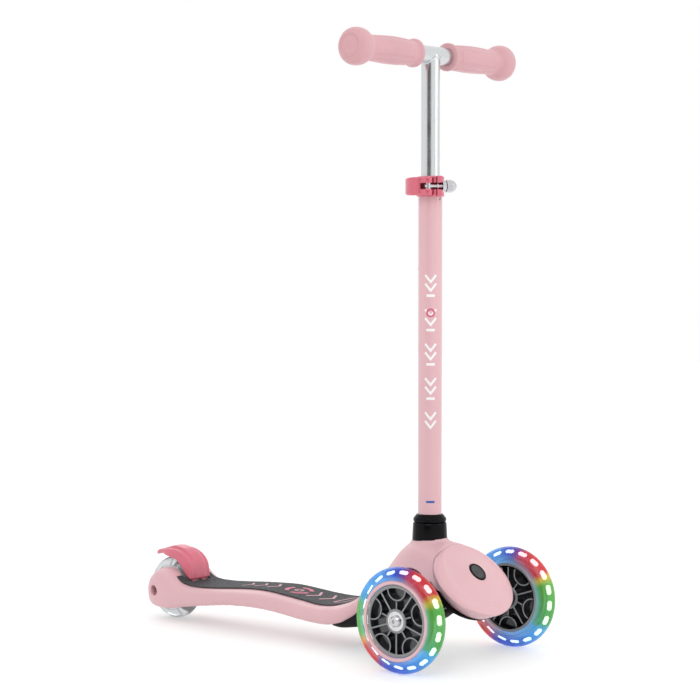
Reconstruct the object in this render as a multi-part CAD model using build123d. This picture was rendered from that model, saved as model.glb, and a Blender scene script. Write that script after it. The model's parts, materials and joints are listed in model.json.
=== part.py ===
"""Three-wheeled lean-to-steer kick scooter for a young child, in millimetres.

Everything is drawn from the front axle line: X forward, Y to the rider's left, Z up,
with Z = 0 on the ground.  save() moves each piece so that the middle of the overall
length lies at X = 0.  Each named piece is written to its own STEP file.
"""
from build123d import *
import os
from math import cos, sin, radians, sqrt

# ---------------------------------------------------------------- driving dimensions
FRONT_WHEEL_R = 60.5        # 121 mm front wheels
REAR_WHEEL_R = 40.0         # 80 mm rear wheel
WHEELBASE = 456.7
HALF_TRACK = 108.1          # middle plane of each front tyre
TYRE_WIDTH = 24.0

COLUMN_X = -41.7            # steering column axis, behind the front axle
CROSSBAR_Z = 703.7          # handlebar axis with the height at its middle setting
HEIGHT_STEP = 50.0          # spacing of the three height settings
GRIP_END_Y = 148.4
OUTER_TUBE_R = 14.0
INNER_TUBE_R = 11.0
TUBE_WALL = 1.5
CROSSBAR_R = 10.5

PIVOT_TILT = 47.0           # lean axis, degrees from the vertical, leaning forward
PIVOT_X = 27.8              # a point on the lean axis, in the face of the front cover
PIVOT_Z = 99.5

WALL = 3.5                  # mouldings
FIT = 0.05                  # radial clearance of a shaft in its hole
GAP = 0.3                   # clearance between parts that move past each other

REAR_AXLE_X = -WHEELBASE
REAR_AXLE_Z = REAR_WHEEL_R
OVERALL_LENGTH = FRONT_WHEEL_R + WHEELBASE + REAR_WHEEL_R
SHIFT_X = OVERALL_LENGTH / 2 - FRONT_WHEEL_R

# Lean axis frame: u down the face of the cover, v to the left, t out along the axis.
LEAN_DIR = Vector(sin(radians(PIVOT_TILT)), 0, cos(radians(PIVOT_TILT)))
DOWN_DIR = Vector(cos(radians(PIVOT_TILT)), 0, -sin(radians(PIVOT_TILT)))


# ------------------------------------------------------------------- small helpers
def save(node, shape):
    os.makedirs("parts", exist_ok=True)
    export_step(Pos(SHIFT_X, 0, 0) * shape, f"parts/{node}.step")


def group(solids):
    return Compound(children=list(solids))


def lean_plane(t=0.0, u=0.0, v=0.0):
    origin = Vector(PIVOT_X, 0, PIVOT_Z) + LEAN_DIR * t + DOWN_DIR * u + Vector(0, v, 0)
    return Plane(origin=origin, x_dir=DOWN_DIR, z_dir=LEAN_DIR)


def lean_cylinder(radius, t_low, t_high, u=0.0, v=0.0):
    disc = lean_plane(t_low, u, v) * Circle(radius)
    return extrude(disc, t_high - t_low, dir=LEAN_DIR)


def lean_box(u_low, u_high, v_low, v_high, t_low, t_high):
    size_u = u_high - u_low
    size_v = v_high - v_low
    plane = lean_plane(t_low, (u_low + u_high) / 2, (v_low + v_high) / 2)
    return extrude(plane * Rectangle(size_u, size_v), t_high - t_low, dir=LEAN_DIR)


def rod(radius, start, end):
    axis = Vector(*end) - Vector(*start)
    return extrude(Plane(origin=start, z_dir=axis) * Circle(radius), axis.length, dir=axis)


def tube(outer, inner, start, end):
    return rod(outer, start, end) - rod(inner, start, end)


def box(x_low, x_high, y_low, y_high, z_low, z_high):
    middle = ((x_low + x_high) / 2, (y_low + y_high) / 2, (z_low + z_high) / 2)
    return Pos(*middle) * Box(x_high - x_low, y_high - y_low, z_high - z_low)


def side_prism(points, y_low, y_high):
    """A side view outline of (x, z) points, extruded across the scooter."""
    face = make_face(Polyline(*[(x, y_low, z) for x, z in points], close=True))
    return extrude(face, y_high - y_low, dir=(0, 1, 0))


def cross_section(x, points):
    """A closed section of (y, z) points on the right half, mirrored to the left."""
    plane = Plane(origin=(x, 0, 0), x_dir=(0, 1, 0), z_dir=(1, 0, 0))
    outline = list(points) + [(-y, z) for y, z in reversed(points)]
    return plane * make_face(Polyline(*outline, close=True))


def turned(points, start, axis=(0, 1, 0)):
    """A body of revolution from (along, radius) points, its axis starting at start."""
    face = make_face(Polyline(*[(radius, 0, along) for along, radius in points], close=True))
    body = revolve(face, Axis.Z)
    return Plane(origin=start, z_dir=axis) * body


def mirrored(shape):
    return mirror(shape, about=Plane.XZ)


def closed_face(*curves):
    return make_face(Curve() + list(curves))


def ring_of(count, make, start_angle=0.0):
    return [make(start_angle + 360.0 * index / count) for index in range(count)]


def coil(radius, wire, height, turns, base, axis):
    path = Helix(pitch=height / turns, height=height, radius=radius)
    profile = Plane(origin=path @ 0, z_dir=path % 0) * Circle(wire / 2)
    return Plane(origin=base, z_dir=axis) * sweep(profile, path=path)


# ------------------------------------------------------------------------ the deck
# x, top half-width, top z, shoulder half-width, shoulder z, bottom half-width, bottom z
DECK_STATIONS = [
    (-480, 26, 43, 29, 40, 26, 31),
    (-472, 29, 57, 33, 48, 30, 24.5),
    (-460, 32, 66, 37, 52, 34, 20.5),
    (-447, 33, 70, 40, 52, 36, 19),
    (-435, 33, 66.5, 41.5, 50, 38, 19),
    (-424, 33, 57, 42.5, 46, 39, 20.5),
    (-410, 33, 52, 43, 44.5, 40, 22.5),
    (-390, 33.5, 50.7, 44, 43.5, 41, 25.5),
    (-360, 33.5, 52.2, 45, 44.5, 42, 29.5),
    (-330, 32, 54.8, 45.5, 47, 42, 33),
    (-300, 31, 56.9, 46, 49, 42, 35),
    (-270, 32, 57.6, 47, 49.5, 43, 35),
    (-240, 33, 55.4, 48, 48, 44, 33.5),
    (-210, 34, 52.7, 50, 45.5, 46, 30.5),
    (-180, 39, 51.1, 52.5, 43.5, 48, 28.5),
    (-150, 43, 53.5, 55, 45.5, 50, 30.5),
    (-130, 42, 60, 55.5, 52, 50, 37),
    (-112, 40, 72, 53, 64, 49, 49),
]
# z, rear x, front x, half-width of the neck that rises to the column
NECK_LEVELS = [
    (36, -148, 62, 54),
    (50, -143, 60, 56),
    (72, -127, 50, 56),
    (92, -112, 34, 55),
    (108, -101, 18, 52),
    (121, -89, 4, 48),
    (129, -79, -6, 42),
    (134.5, -69, -13, 31),
    (138, COLUMN_X - 21.5, COLUMN_X + 21.5, 21.5),
]
# Side view of the arch over the front axle, which the pink moulding stops short of.
ARCH_LINE = [
    (-165, 20), (-149, 29), (-130, 38), (-114, 48), (-95, 66), (-75, 88), (-56, 103),
    (-38, 108), (-24, 106), (-14, 100), (-6, 94), (4, 89), (18, 85), (70, 68), (70, 0),
    (-165, 0),
]
PAD_THICKNESS = 1.8
PAD_PROUD = 0.5
FORK_GAP = 16.0             # half of the opening that holds the rear wheel
FORK_FRONT_X = -394.0


def deck_section(x, half_top, z_top, half_side, z_side, half_low, z_low):
    return cross_section(x, [(half_top, z_top), (half_side, z_side), (half_low, z_low)])


def neck_level(z, rear, front, half_width, inset=0.0):
    face = Ellipse((front - rear) / 2 - inset, half_width - inset)
    return Pos((front + rear) / 2, 0, z) * face


def cover_envelope(margin=0.0):
    """The space the front cover and its back plate fill, carried on forwards."""
    oval = lean_plane(COVER_BACK_T - BACK_PLATE - margin) * Ellipse(COVER_RIM_U + margin, COVER_RIM_V + margin)
    return extrude(oval, 90, dir=LEAN_DIR)


def pad_band(low, high):
    """A band that follows the wavy top of the deck, from low to high above it."""
    stations = [(x, z) for x, _, z, *_ in DECK_STATIONS if -425 < x < -125]
    first = (-440, stations[0][1] + 12)
    upper = [first] + stations
    points = [(x, z + high) for x, z in upper] + [(x, z + low) for x, z in reversed(upper)]
    return side_prism(points, -60, 60)


def pad_outline(margin=0.0):
    widths = [(-425, 30), (-390, 32.5), (-345, 32), (-305, 29), (-270, 31), (-225, 32.5),
              (-185, 37), (-162, 41), (-147, 38), (-136, 26), (-131, 0)]
    left = Spline(*[(x, y) for x, y in widths], tangents=[(1, 0.05), (0, -1)])
    right = mirror(left, about=Plane.XZ)
    back = Line(left @ 0, right @ 0)
    body = extrude(closed_face(left, right, back), 200)
    return body - box(-470, FORK_FRONT_X, -23, 23, 0, 200)


def grip_pad():
    return pad_band(PAD_PROUD - PAD_THICKNESS, PAD_PROUD) & pad_outline()


def deck_hollow():
    """The open underside, with cross ribs and one long rib left standing."""
    sections = []
    for x, _, z_top, half_side, _, half_low, z_low in DECK_STATIONS:
        if -395 < x < -145:
            half_high = half_side - WALL - 4
            points = [(half_high, z_top - 6), (half_low - WALL, z_low - 1)]
            sections.append(cross_section(x, points))
    hollow = loft(sections, ruled=True)
    for x in range(-370, -160, 35):
        hollow -= box(x - 1.2, x + 1.2, -60, 60, 0, 80)
    hollow -= box(-400, -140, -1.2, 1.2, 0, 80)
    return hollow


def deck_body():
    deck = loft([deck_section(*station) for station in DECK_STATIONS], ruled=True)
    neck = loft([neck_level(*level) for level in NECK_LEVELS], ruled=True)
    neck -= cover_envelope(GAP)
    room = loft([neck_level(*level, inset=4.0) for level in NECK_LEVELS[:7]], ruled=True)
    body = deck + neck
    body -= side_prism(ARCH_LINE, -80, 80)
    body -= room & box(-141, 90, -80, 80, 30, 124)
    body -= deck_hollow()
    body -= belly_tray(-GAP)
    for x, y in BELLY_SCREWS:
        foot = belly_floor(x) + 5.1
        body += rod(5, (x, y, foot), (x, y, foot + 80)) & (deck + neck)
    body -= rod(SOCKET_R, (COLUMN_X, 0, 90), (COLUMN_X, 0, 140))
    body -= rod(21.0, (COLUMN_X, 0, COLLAR_FOOT_Z), (COLUMN_X, 0, 150))
    for x, y in BELLY_SCREWS:
        body -= rod(1.5 + FIT, (x, y, 0), (x, y, belly_floor(x) + 15))
    for u, v in BRACKET_SCREWS:
        body -= rod(1.6, (u, v, 100), (u, v, 133))
    wheel_slot = box(-520, FORK_FRONT_X, -FORK_GAP, FORK_GAP, 0, 120)
    body -= wheel_slot
    axle = (REAR_AXLE_X, 0, REAR_AXLE_Z)
    body -= rod(4, (axle[0], -60, axle[2]), (axle[0], 60, axle[2]))
    for side in (-1, 1):
        body -= rod(6.8, (axle[0], side * 20.5, axle[2]), (axle[0], side * 60, axle[2]))
    body -= rod(BRAKE_PIN_R, (BRAKE_X, -BRAKE_PIN_HALF, BRAKE_Z), (BRAKE_X, BRAKE_PIN_HALF, BRAKE_Z))
    body -= grip_pad()
    body -= lean_box(-60, 60, -26.5, 26.5, -56, -26) & box(-60, 60, -26.5, 26.5, 112, 126)
    return body


# ----------------------------------------------------------- belly pan under the neck
BELLY_SCREWS = [(-153, 28), (-153, -28), (-86, 24), (-86, -24)]
# x, half-width at the top, z of the top, half-width of the floor, z of the floor
BELLY_STATIONS = [
    (-163, 38, 33, 34, 25.5),
    (-150, 43, 36.5, 37, 25.5),
    (-130, 45.5, 50, 38, 28),
    (-110, 46.5, 66, 38, 31.5),
    (-85, 46.5, 80, 36, 36),
    (-58, 44, 80, 32, 41),
]
# z, length of the bow ahead of x = -60, half-width
BOW_LEVELS = [(43, 33, 26), (46, 39.5, 31), (51, 45, 38), (57.5, 49.5, 43)]
BOW_X = -60.0
SHELL = 2.5


def belly_floor(x):
    for near, far in zip(BELLY_STATIONS, BELLY_STATIONS[1:]):
        if near[0] <= x <= far[0]:
            share = (x - near[0]) / (far[0] - near[0])
            return near[4] + share * (far[4] - near[4])
    return BELLY_STATIONS[-1][4]


def belly_tray(inset):
    sections = []
    for x, half_top, z_top, half_low, z_low in BELLY_STATIONS:
        top = z_top + (1 if inset else 0)
        points = [(half_top - inset, top), (half_top - inset, (z_top + z_low) / 2 + 2),
                  (half_low - inset, z_low + inset)]
        sections.append(cross_section(x, points))
    return loft(sections, ruled=True)


def belly_bow(inset):
    faces = []
    for z, length, half_width in BOW_LEVELS:
        oval = Pos(BOW_X, 0, z) * Ellipse(length - inset, half_width - inset)
        faces.append(oval)
    lifted = loft(faces, ruled=True)
    return Pos(0, 0, inset) * lifted & box(BOW_X - 3, 60, -60, 60, 0, 80)


def belly_pan():
    outer = belly_tray(0) + belly_bow(0)
    inner = belly_tray(SHELL) + belly_bow(SHELL)
    pan = outer - inner
    pan -= box(-66, 60, -60, 60, 57.2, 90)
    boss = lean_cylinder(9.5, NUT_LOW_T - 2.5, LUG_END_T - GAP)
    pan += boss & box(-60, 60, -60, 60, 0, 60)
    pan -= lean_cylinder(7.3, NUT_LOW_T - 0.2, 0)
    for x, y in BELLY_SCREWS:
        pan += tube(4.4, 1.9, (x, y, belly_floor(x)), (x, y, belly_floor(x) + 5))
        pan -= rod(1.9, (x, y, 0), (x, y, belly_floor(x) + 5.5))
        pan -= rod(4.0, (x, y, 0), (x, y, belly_floor(x) + 2.0))
    return pan


def self_tapping_screw(x, y):
    floor = belly_floor(x)
    head = rod(3.7, (x, y, floor + 0.2), (x, y, floor + 2.0))
    recess = box(x - 2, x + 2, y - 0.5, y + 0.5, floor, floor + 1.0)
    recess += box(x - 0.5, x + 0.5, y - 2, y + 2, floor, floor + 1.0)
    return head + rod(1.5, (x, y, floor + 1.5), (x, y, floor + 13)) - recess


# -------------------------------------------------------------- front cover and lock
COVER_RIM_U = 49.7          # half-length and half-width of the oval rim
COVER_RIM_V = 67.0
COVER_BACK_T = -24.0
BACK_PLATE = 2.2
BUTTON_R = 9.7
# t, half-length, half-width of the cover's outer skin, back to front
COVER_LEVELS = [
    (COVER_BACK_T, 43.5, 56.0),
    (-16.0, 48.0, 63.5),
    (-9.5, COVER_RIM_U, COVER_RIM_V),
    (-4.5, 47.0, 61.0),
    (-1.0, 42.5, 52.5),
    (1.5, 36.0, 43.0),
    (3.8, 24.0, 28.0),
    (4.6, 13.0, 13.5),
]


def cover_skin(inset):
    ovals = []
    for t, half_u, half_v in COVER_LEVELS:
        ovals.append(lean_plane(t - inset) * Ellipse(half_u - inset, half_v - inset))
    return loft(ovals, ruled=True)


def front_cover():
    cover = cover_skin(0) - cover_skin(WALL)
    cover -= lean_box(-80, 80, -90, 90, COVER_BACK_T - 10, COVER_BACK_T)
    cover += lean_cylinder(13.5, -6.5, 2.0) & cover_skin(0)
    for u, v in COVER_SCREWS:
        cover += lean_cylinder(4, COVER_BACK_T, 0, u, v) & cover_skin(0)
        cover -= lean_cylinder(1.4, COVER_BACK_T - 1, -8, u, v)
    cover -= lean_cylinder(BUTTON_R + 1.8, -1.5, 20)
    cover -= lean_cylinder(BUTTON_R - 1.0, -20, 20)
    return cover


COVER_SCREWS = [(-24, 26), (-24, -26), (22, 26), (22, -26)]


def cover_back():
    """Black plate that closes the back of the cover, open round the pivot."""
    plate = lean_plane(COVER_BACK_T - BACK_PLATE) * Ellipse(42.3, 54.8)
    plate = extrude(plate, 2.0, dir=LEAN_DIR)
    plate -= lean_cylinder(19.5, COVER_BACK_T - 5, COVER_BACK_T + 5)
    plate -= lean_box(-60, 0, -17.0, 17.0, COVER_BACK_T - 5, COVER_BACK_T + 5)
    for u, v in COVER_SCREWS:
        plate -= lean_cylinder(1.6, COVER_BACK_T - 5, COVER_BACK_T + 5, u, v)
    return plate


def cover_screw(u, v):
    head = lean_cylinder(3.2, COVER_BACK_T - 4.0, COVER_BACK_T - 2.2, u, v)
    slot = lean_box(u - 2.2, u + 2.2, v - 0.4, v + 0.4, COVER_BACK_T - 4.5, COVER_BACK_T - 3.2)
    shank = lean_cylinder(1.4, COVER_BACK_T - 2.2, COVER_BACK_T + 10, u, v)
    return head + shank - slot


def button_bezel():
    bezel = lean_cylinder(BUTTON_R + 1.8, -1.5, 5.2) - lean_cylinder(BUTTON_R + FIT, -2, 6)
    return bezel


BUTTON_TRAVEL = 2.5
PLUNGER_U = -12.0           # the plunger passes above the kingpin's head
YOKE_LOW_T = -9.0


def lock_button():
    rim = lean_cylinder(BUTTON_R, -1.3 + BUTTON_TRAVEL, 5.6)
    dish = lean_cylinder(BUTTON_R - 2.2, 5.0, 6)
    stem = lean_cylinder(4, YOKE_LOW_T, -1)
    stem += lean_cylinder(BUTTON_R - 1.2, -1.2, 1.4)
    yoke = lean_box(PLUNGER_U - 3, 3.5, -3.5, 3.5, YOKE_LOW_T, YOKE_LOW_T + 2)
    plunger = lean_cylinder(2.0, PLUNGER_END_T, YOKE_LOW_T + 1, PLUNGER_U)
    return rim - dish + stem + yoke + plunger


# --------------------------------------------------- steering head, kingpin and truck
SOCKET_R = 18.0
TUBE_BOTTOM_Z = 100.0
COLLAR_FOOT_Z = 134.5
LUG_TOP_T = (-25.8, -19.5)
BARREL_T = (-46.0, -26.0)
BARREL_R = 13.0
LUG_LOW_T = -46.2
LUG_END_T = -51.5
NUT_LOW_T = -57.0
KINGPIN_R = 4.0
HEAD_TOP_T = -14.5
PLUNGER_END_T = BARREL_T[1] + BUTTON_TRAVEL + 0.3
BRACKET_SCREWS = [(COLUMN_X - 2, 23), (COLUMN_X - 2, -23)]
SPRING_V = 31.0
SPRING_T = -38.5
SPRING_SEAT_M = 30.0        # height of the spring seats above the lean axis
SPRING_BASE_M = 11.0


def steering_head():
    """Casting that holds the column and both ends of the kingpin."""
    head = lean_cylinder(13.5, *LUG_TOP_T) + lean_box(-26, 0, -13.5, 13.5, *LUG_TOP_T)
    head += lean_cylinder(10, LUG_END_T, LUG_LOW_T)
    head += lean_box(-26, 0, -10, 10, LUG_END_T, LUG_LOW_T)
    head += lean_box(-26, -17, -12, 12, LUG_END_T, LUG_TOP_T[1])
    web = [(-33, 82), (-41, 94), (-60, 96), (-60, 120), (-29, 120), (-10, 103), (-14, 88)]
    head += side_prism(web, -9, 9)
    column = (COLUMN_X, 0, 94)
    head += rod(SOCKET_R, column, (COLUMN_X, 0, COLLAR_FOOT_Z))
    head += lean_box(-SPRING_SEAT_M - 4, -SPRING_SEAT_M, -40, 40, SPRING_T - 7.5, SPRING_T + 7.5)
    for side in (-1, 1):
        head += box(COLUMN_X - 8, COLUMN_X + 4, side * 21.5 - 5, side * 21.5 + 5, 107, 112)
        head += box(COLUMN_X - 8, COLUMN_X + 4, side * 15 - 4, side * 15 + 4, 107, 112)
        head -= rod(1.9, (COLUMN_X - 2, side * 23, 100), (COLUMN_X - 2, side * 23, 115))
    head -= rod(OUTER_TUBE_R, (COLUMN_X, 0, TUBE_BOTTOM_Z), (COLUMN_X, 0, 140))
    head -= lean_cylinder(KINGPIN_R, -80, 10)
    head -= lean_cylinder(BARREL_R + 1.0, BARREL_T[0] - 0.2, BARREL_T[1] + 0.2)
    head -= lean_cylinder(2.3, -30, -15, PLUNGER_U)
    head -= rod(PIN_R, (COLUMN_X, -40, PIN_Z), (COLUMN_X, 40, PIN_Z))
    return head


PIN_R = 3.0
PIN_Z = 126.0


def head_screw(x, y):
    head = rod(3.4, (x, y, 104.8), (x, y, 107))
    return head + rod(1.6, (x, y, 106.5), (x, y, 126))


def kingpin():
    head = lean_cylinder(7.5, LUG_TOP_T[1], HEAD_TOP_T)
    hexagon = extrude(lean_plane(HEAD_TOP_T - 2.5) * RegularPolygon(3.4, 6), 4, dir=LEAN_DIR)
    return head - hexagon + lean_cylinder(KINGPIN_R, NUT_LOW_T, LUG_TOP_T[1] + 0.5)


def kingpin_nut():
    nut = extrude(lean_plane(NUT_LOW_T) * RegularPolygon(7.0, 6), 4.5, dir=LEAN_DIR)
    return nut - lean_cylinder(KINGPIN_R, -80, 0)


def kingpin_washer():
    washer = lean_cylinder(7.2, NUT_LOW_T + 4.5, LUG_END_T)
    return washer - lean_cylinder(KINGPIN_R, -80, 0)


def arm_section(y, x, z, half_x, half_z):
    plane = Plane(origin=(x, y, z), x_dir=(1, 0, 0), z_dir=(0, 1, 0))
    return plane * Ellipse(half_x, half_z)


HUB_FACE = 9.0              # hub face to the middle plane of the wheel
ARM_END_Y = HALF_TRACK - HUB_FACE - 2.2
AXLE_R = 4.0
AXLE_ROOT_Y = 62.0


def truck_arm():
    stations = [(0, 1.5, 75, 9.5, 9), (20, 1.5, 75, 10, 9), (38, 1, 71.5, 10.5, 9),
                (58, 0.5, 66, 11.5, 10), (78, 0, 61.5, 12, 11), (ARM_END_Y, 0, 60.5, 12, 12)]
    arm = loft([arm_section(*station) for station in stations])
    arm += rod(6, (0, ARM_END_Y - 1, 60.5), (0, HALF_TRACK - HUB_FACE, 60.5))
    return arm


def truck():
    body = truck_arm() + mirrored(truck_arm())
    body += lean_cylinder(BARREL_R, *BARREL_T)
    body &= lean_box(-60, 60, -130, 130, -90, BARREL_T[1])
    body -= lean_cylinder(BUSH_R, -80, 10)
    body -= lean_box(-60, 60, -14, 14, -90, BARREL_T[0])
    for side in (-1, 1):
        body -= lean_cylinder(6.5, -60, -20, -SPRING_BASE_M, side * SPRING_V) \
            & lean_box(-40, -SPRING_BASE_M, -60, 60, -60, -10)
        body -= rod(AXLE_R, (0, side * AXLE_ROOT_Y, 60.5), (0, side * 120, 60.5))
    return body


BUSH_R = 6.0


def pivot_bushes():
    low, high = BARREL_T
    middle = (low + high) / 2
    hole = lean_cylinder(KINGPIN_R + FIT, -80, 10)
    lower = lean_cylinder(BUSH_R, low, middle - 0.5) - hole
    upper = lean_cylinder(BUSH_R, middle + 0.5, high) - hole
    return group([lower, upper])


def lean_spring(side):
    base = lean_plane(SPRING_T, -SPRING_BASE_M - 1.2, side * SPRING_V).origin
    height = SPRING_SEAT_M - SPRING_BASE_M - 2.2
    return coil(4.6, 1.6, height, 5, base, DOWN_DIR * -1)


def lock_spring():
    base = lean_plane(HEAD_TOP_T + 0.5).origin
    return coil(4.9, 0.9, YOKE_LOW_T - HEAD_TOP_T - 1.0, 3, base, LEAN_DIR)


# -------------------------------------------------------------- column and clamp
CLAMP_Z = (539.0, 563.0)
CLAMP_MID_Z = 551.0
CLAMP_TURN = -35.0          # the clamp's ears point forward and to the right
CLAMP_RING_R = 17.5
BOLT_E = 20.4               # bolt axis ahead of the column axis
LEVER_PIN_B = -9.0
BOLT_R = 2.5
EAR_FACE_B = 7.2            # face of the far ear, under the nut's washers
WASHER_R = 7.1
HEIGHT_HOLE_R = 4.2
CLIP_Z = 455.0
OUTER_TOP_Z = 562.0


def column_frame(shape):
    """Place a piece drawn round the Z axis, with the clamp's ears on +X, on the column."""
    return Pos(COLUMN_X, 0, 0) * Rot(0, 0, CLAMP_TURN) * shape


def column_collar():
    profile = [(COLLAR_FOOT_Z, OUTER_TUBE_R), (COLLAR_FOOT_Z, 20.9), (138, 20.8),
               (157.5, 19.8), (158.5, 19.2), (158.5, OUTER_TUBE_R)]
    return turned(profile, (COLUMN_X, 0, 0), (0, 0, 1))


def collar_ring():
    profile = [(158.5, OUTER_TUBE_R), (158.5, 18.9), (159.5, 19.5), (162, 19.5),
               (166, 17.2), (168, 15.3), (168, OUTER_TUBE_R)]
    return turned(profile, (COLUMN_X, 0, 0), (0, 0, 1))


def outer_tube():
    bottom = (COLUMN_X, 0, TUBE_BOTTOM_Z)
    shape = tube(OUTER_TUBE_R, OUTER_TUBE_R - TUBE_WALL, bottom, (COLUMN_X, 0, OUTER_TOP_Z))
    front = COLUMN_X + 10
    shape -= box(front, front + 10, -0.9, 0.9, 537, 570)
    shape -= rod(2.0, (front, 0, 537), (front + 10, 0, 537))
    for step in (-1, 0, 1):
        z = CLIP_Z + step * HEIGHT_STEP
        shape -= rod(HEIGHT_HOLE_R, (COLUMN_X - 20, 0, z), (COLUMN_X, 0, z))
    shape -= rod(PIN_R, (COLUMN_X, -40, PIN_Z), (COLUMN_X, 40, PIN_Z))
    return shape


def column_pin():
    return rod(PIN_R, (COLUMN_X, -SOCKET_R + 0.5, PIN_Z), (COLUMN_X, SOCKET_R - 0.5, PIN_Z))


def tube_sleeve():
    low, high = 515, 561
    shape = tube(OUTER_TUBE_R - TUBE_WALL, INNER_TUBE_R + FIT, (COLUMN_X, 0, low), (COLUMN_X, 0, high))
    return shape


def clamp_collar():
    low, high = CLAMP_Z
    ring = rod(CLAMP_RING_R, (0, 0, low), (0, 0, high))
    ring += box(10, 26, -3.4, EAR_FACE_B, low + 1, high - 1)
    ring -= rod(OUTER_TUBE_R, (0, 0, low - 1), (0, 0, high + 1))
    ring -= box(8, 40, 1.0, 2.6, low - 1, high + 1)
    ring -= box(BOLT_E - BOLT_R - 0.3, 40, -20, 20, CLAMP_MID_Z - 3.6, CLAMP_MID_Z + 3.6)
    ring -= rod(BOLT_R + 0.3, (BOLT_E, -20, CLAMP_MID_Z), (BOLT_E, 20, CLAMP_MID_Z))
    ring -= rod(WASHER_R + 0.15, (BOLT_E, EAR_FACE_B, CLAMP_MID_Z), (BOLT_E, 20, CLAMP_MID_Z))
    return column_frame(ring)


def lever_arm():
    outer = Spline((24.4, -9), (20.5, -19.5), (9.5, -26.8), (-3, -28.6), (-13.5, -26.6))
    inner = Spline((-13, -23.6), (-3, -24.4), (8, -22.5), (15.6, -16.5), (17.0, -10.5))
    return closed_face(outer, Line(outer @ 1, inner @ 0), inner, Line(inner @ 1, outer @ 0))


def clamp_lever():
    low, high = CLAMP_Z[0] + 1.2, CLAMP_Z[1] - 1.2
    arm = Pos(0, 0, low) * extrude(lever_arm(), high - low)
    cam = rod(4.4, (BOLT_E, LEVER_PIN_B, low), (BOLT_E, LEVER_PIN_B, high))
    lever = arm + cam
    slot_z = (CLAMP_MID_Z - 3.4, CLAMP_MID_Z + 3.4)
    lever -= box(10, 40, -17.5, 0, *slot_z)
    lever -= rod(3.0 + FIT, (BOLT_E, LEVER_PIN_B, low - 1), (BOLT_E, LEVER_PIN_B, high + 1))
    lever -= rod(CLAMP_RING_R + 0.4, (0, 0, low - 1), (0, 0, high + 1))
    return column_frame(lever)


def lever_barrel():
    low, high = CLAMP_Z[0] + 1.5, CLAMP_Z[1] - 1.5
    barrel = rod(3.0, (BOLT_E, LEVER_PIN_B, low), (BOLT_E, LEVER_PIN_B, high))
    barrel -= rod(BOLT_R, (BOLT_E, LEVER_PIN_B - 10, CLAMP_MID_Z), (BOLT_E, 0, CLAMP_MID_Z))
    return column_frame(barrel)


BOLT_END_B = 25.4


def clamp_bolt():
    start = (BOLT_E, LEVER_PIN_B - 4.6, CLAMP_MID_Z)
    shape = rod(BOLT_R, start, (BOLT_E, BOLT_END_B - 2.5, CLAMP_MID_Z))
    dome = Pos(BOLT_E, BOLT_END_B - 2.5, CLAMP_MID_Z) * Sphere(BOLT_R)
    socket = rod(1.2, start, (BOLT_E, start[1] + 2.5, CLAMP_MID_Z))
    return column_frame(shape + dome - socket)


def clamp_washers():
    inner = tube(4.2, BOLT_R, (BOLT_E, 1.05, CLAMP_MID_Z), (BOLT_E, 2.55, CLAMP_MID_Z))
    cup = tube(WASHER_R, BOLT_R, (BOLT_E, EAR_FACE_B, CLAMP_MID_Z), (BOLT_E, 9.4, CLAMP_MID_Z))
    flat = tube(6.4, BOLT_R, (BOLT_E, 9.4, CLAMP_MID_Z), (BOLT_E, 11.6, CLAMP_MID_Z))
    return column_frame(group([inner, cup, flat]))


NUT_B = (11.7, 19.3)


def clamp_nut():
    profile = [(NUT_B[0], BOLT_R + FIT), (NUT_B[0], 6.2), (NUT_B[0] + 0.6, 6.8),
               (NUT_B[1] - 1.8, 6.8), (NUT_B[1] - 1.2, 6.2), (NUT_B[1], 4.6), (NUT_B[1], BOLT_R + FIT)]
    nut = turned(profile, (BOLT_E, 0, CLAMP_MID_Z), (0, 1, 0))
    for angle in range(0, 360, 15):
        x = BOLT_E + 7.0 * cos(radians(angle))
        z = CLAMP_MID_Z + 7.0 * sin(radians(angle))
        nut -= rod(0.5, (x, NUT_B[0] - 1, z), (x, NUT_B[1] + 1, z))
    return column_frame(nut)


# ------------------------------------------------------------------- handlebar
INNER_BOTTOM_Z = 428.0


def handlebar():
    top = (COLUMN_X, 0, CROSSBAR_Z)
    stem = rod(INNER_TUBE_R, (COLUMN_X, 0, INNER_BOTTOM_Z), top)
    end_y = GRIP_END_Y - 9
    bar = rod(CROSSBAR_R, (COLUMN_X, -end_y, CROSSBAR_Z), (COLUMN_X, end_y, CROSSBAR_Z))
    shape = stem + bar
    bore = INNER_TUBE_R - TUBE_WALL
    shape -= rod(bore, (COLUMN_X, 0, INNER_BOTTOM_Z - 1), (COLUMN_X, 0, CROSSBAR_Z - 11))
    bar_bore = CROSSBAR_R - TUBE_WALL
    shape -= rod(bar_bore, (COLUMN_X, -160, CROSSBAR_Z), (COLUMN_X, 160, CROSSBAR_Z))
    shape -= rod(4.1, (COLUMN_X - 20, 0, CLIP_Z), (COLUMN_X, 0, CLIP_Z))
    return shape


def tube_glide():
    profile = [(INNER_BOTTOM_Z, INNER_TUBE_R), (INNER_BOTTOM_Z, 12.2),
               (INNER_BOTTOM_Z + 1, OUTER_TUBE_R - TUBE_WALL - FIT),
               (INNER_BOTTOM_Z + 16, OUTER_TUBE_R - TUBE_WALL - FIT),
               (INNER_BOTTOM_Z + 16, INNER_TUBE_R)]
    return turned(profile, (COLUMN_X, 0, 0), (0, 0, 1))


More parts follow.
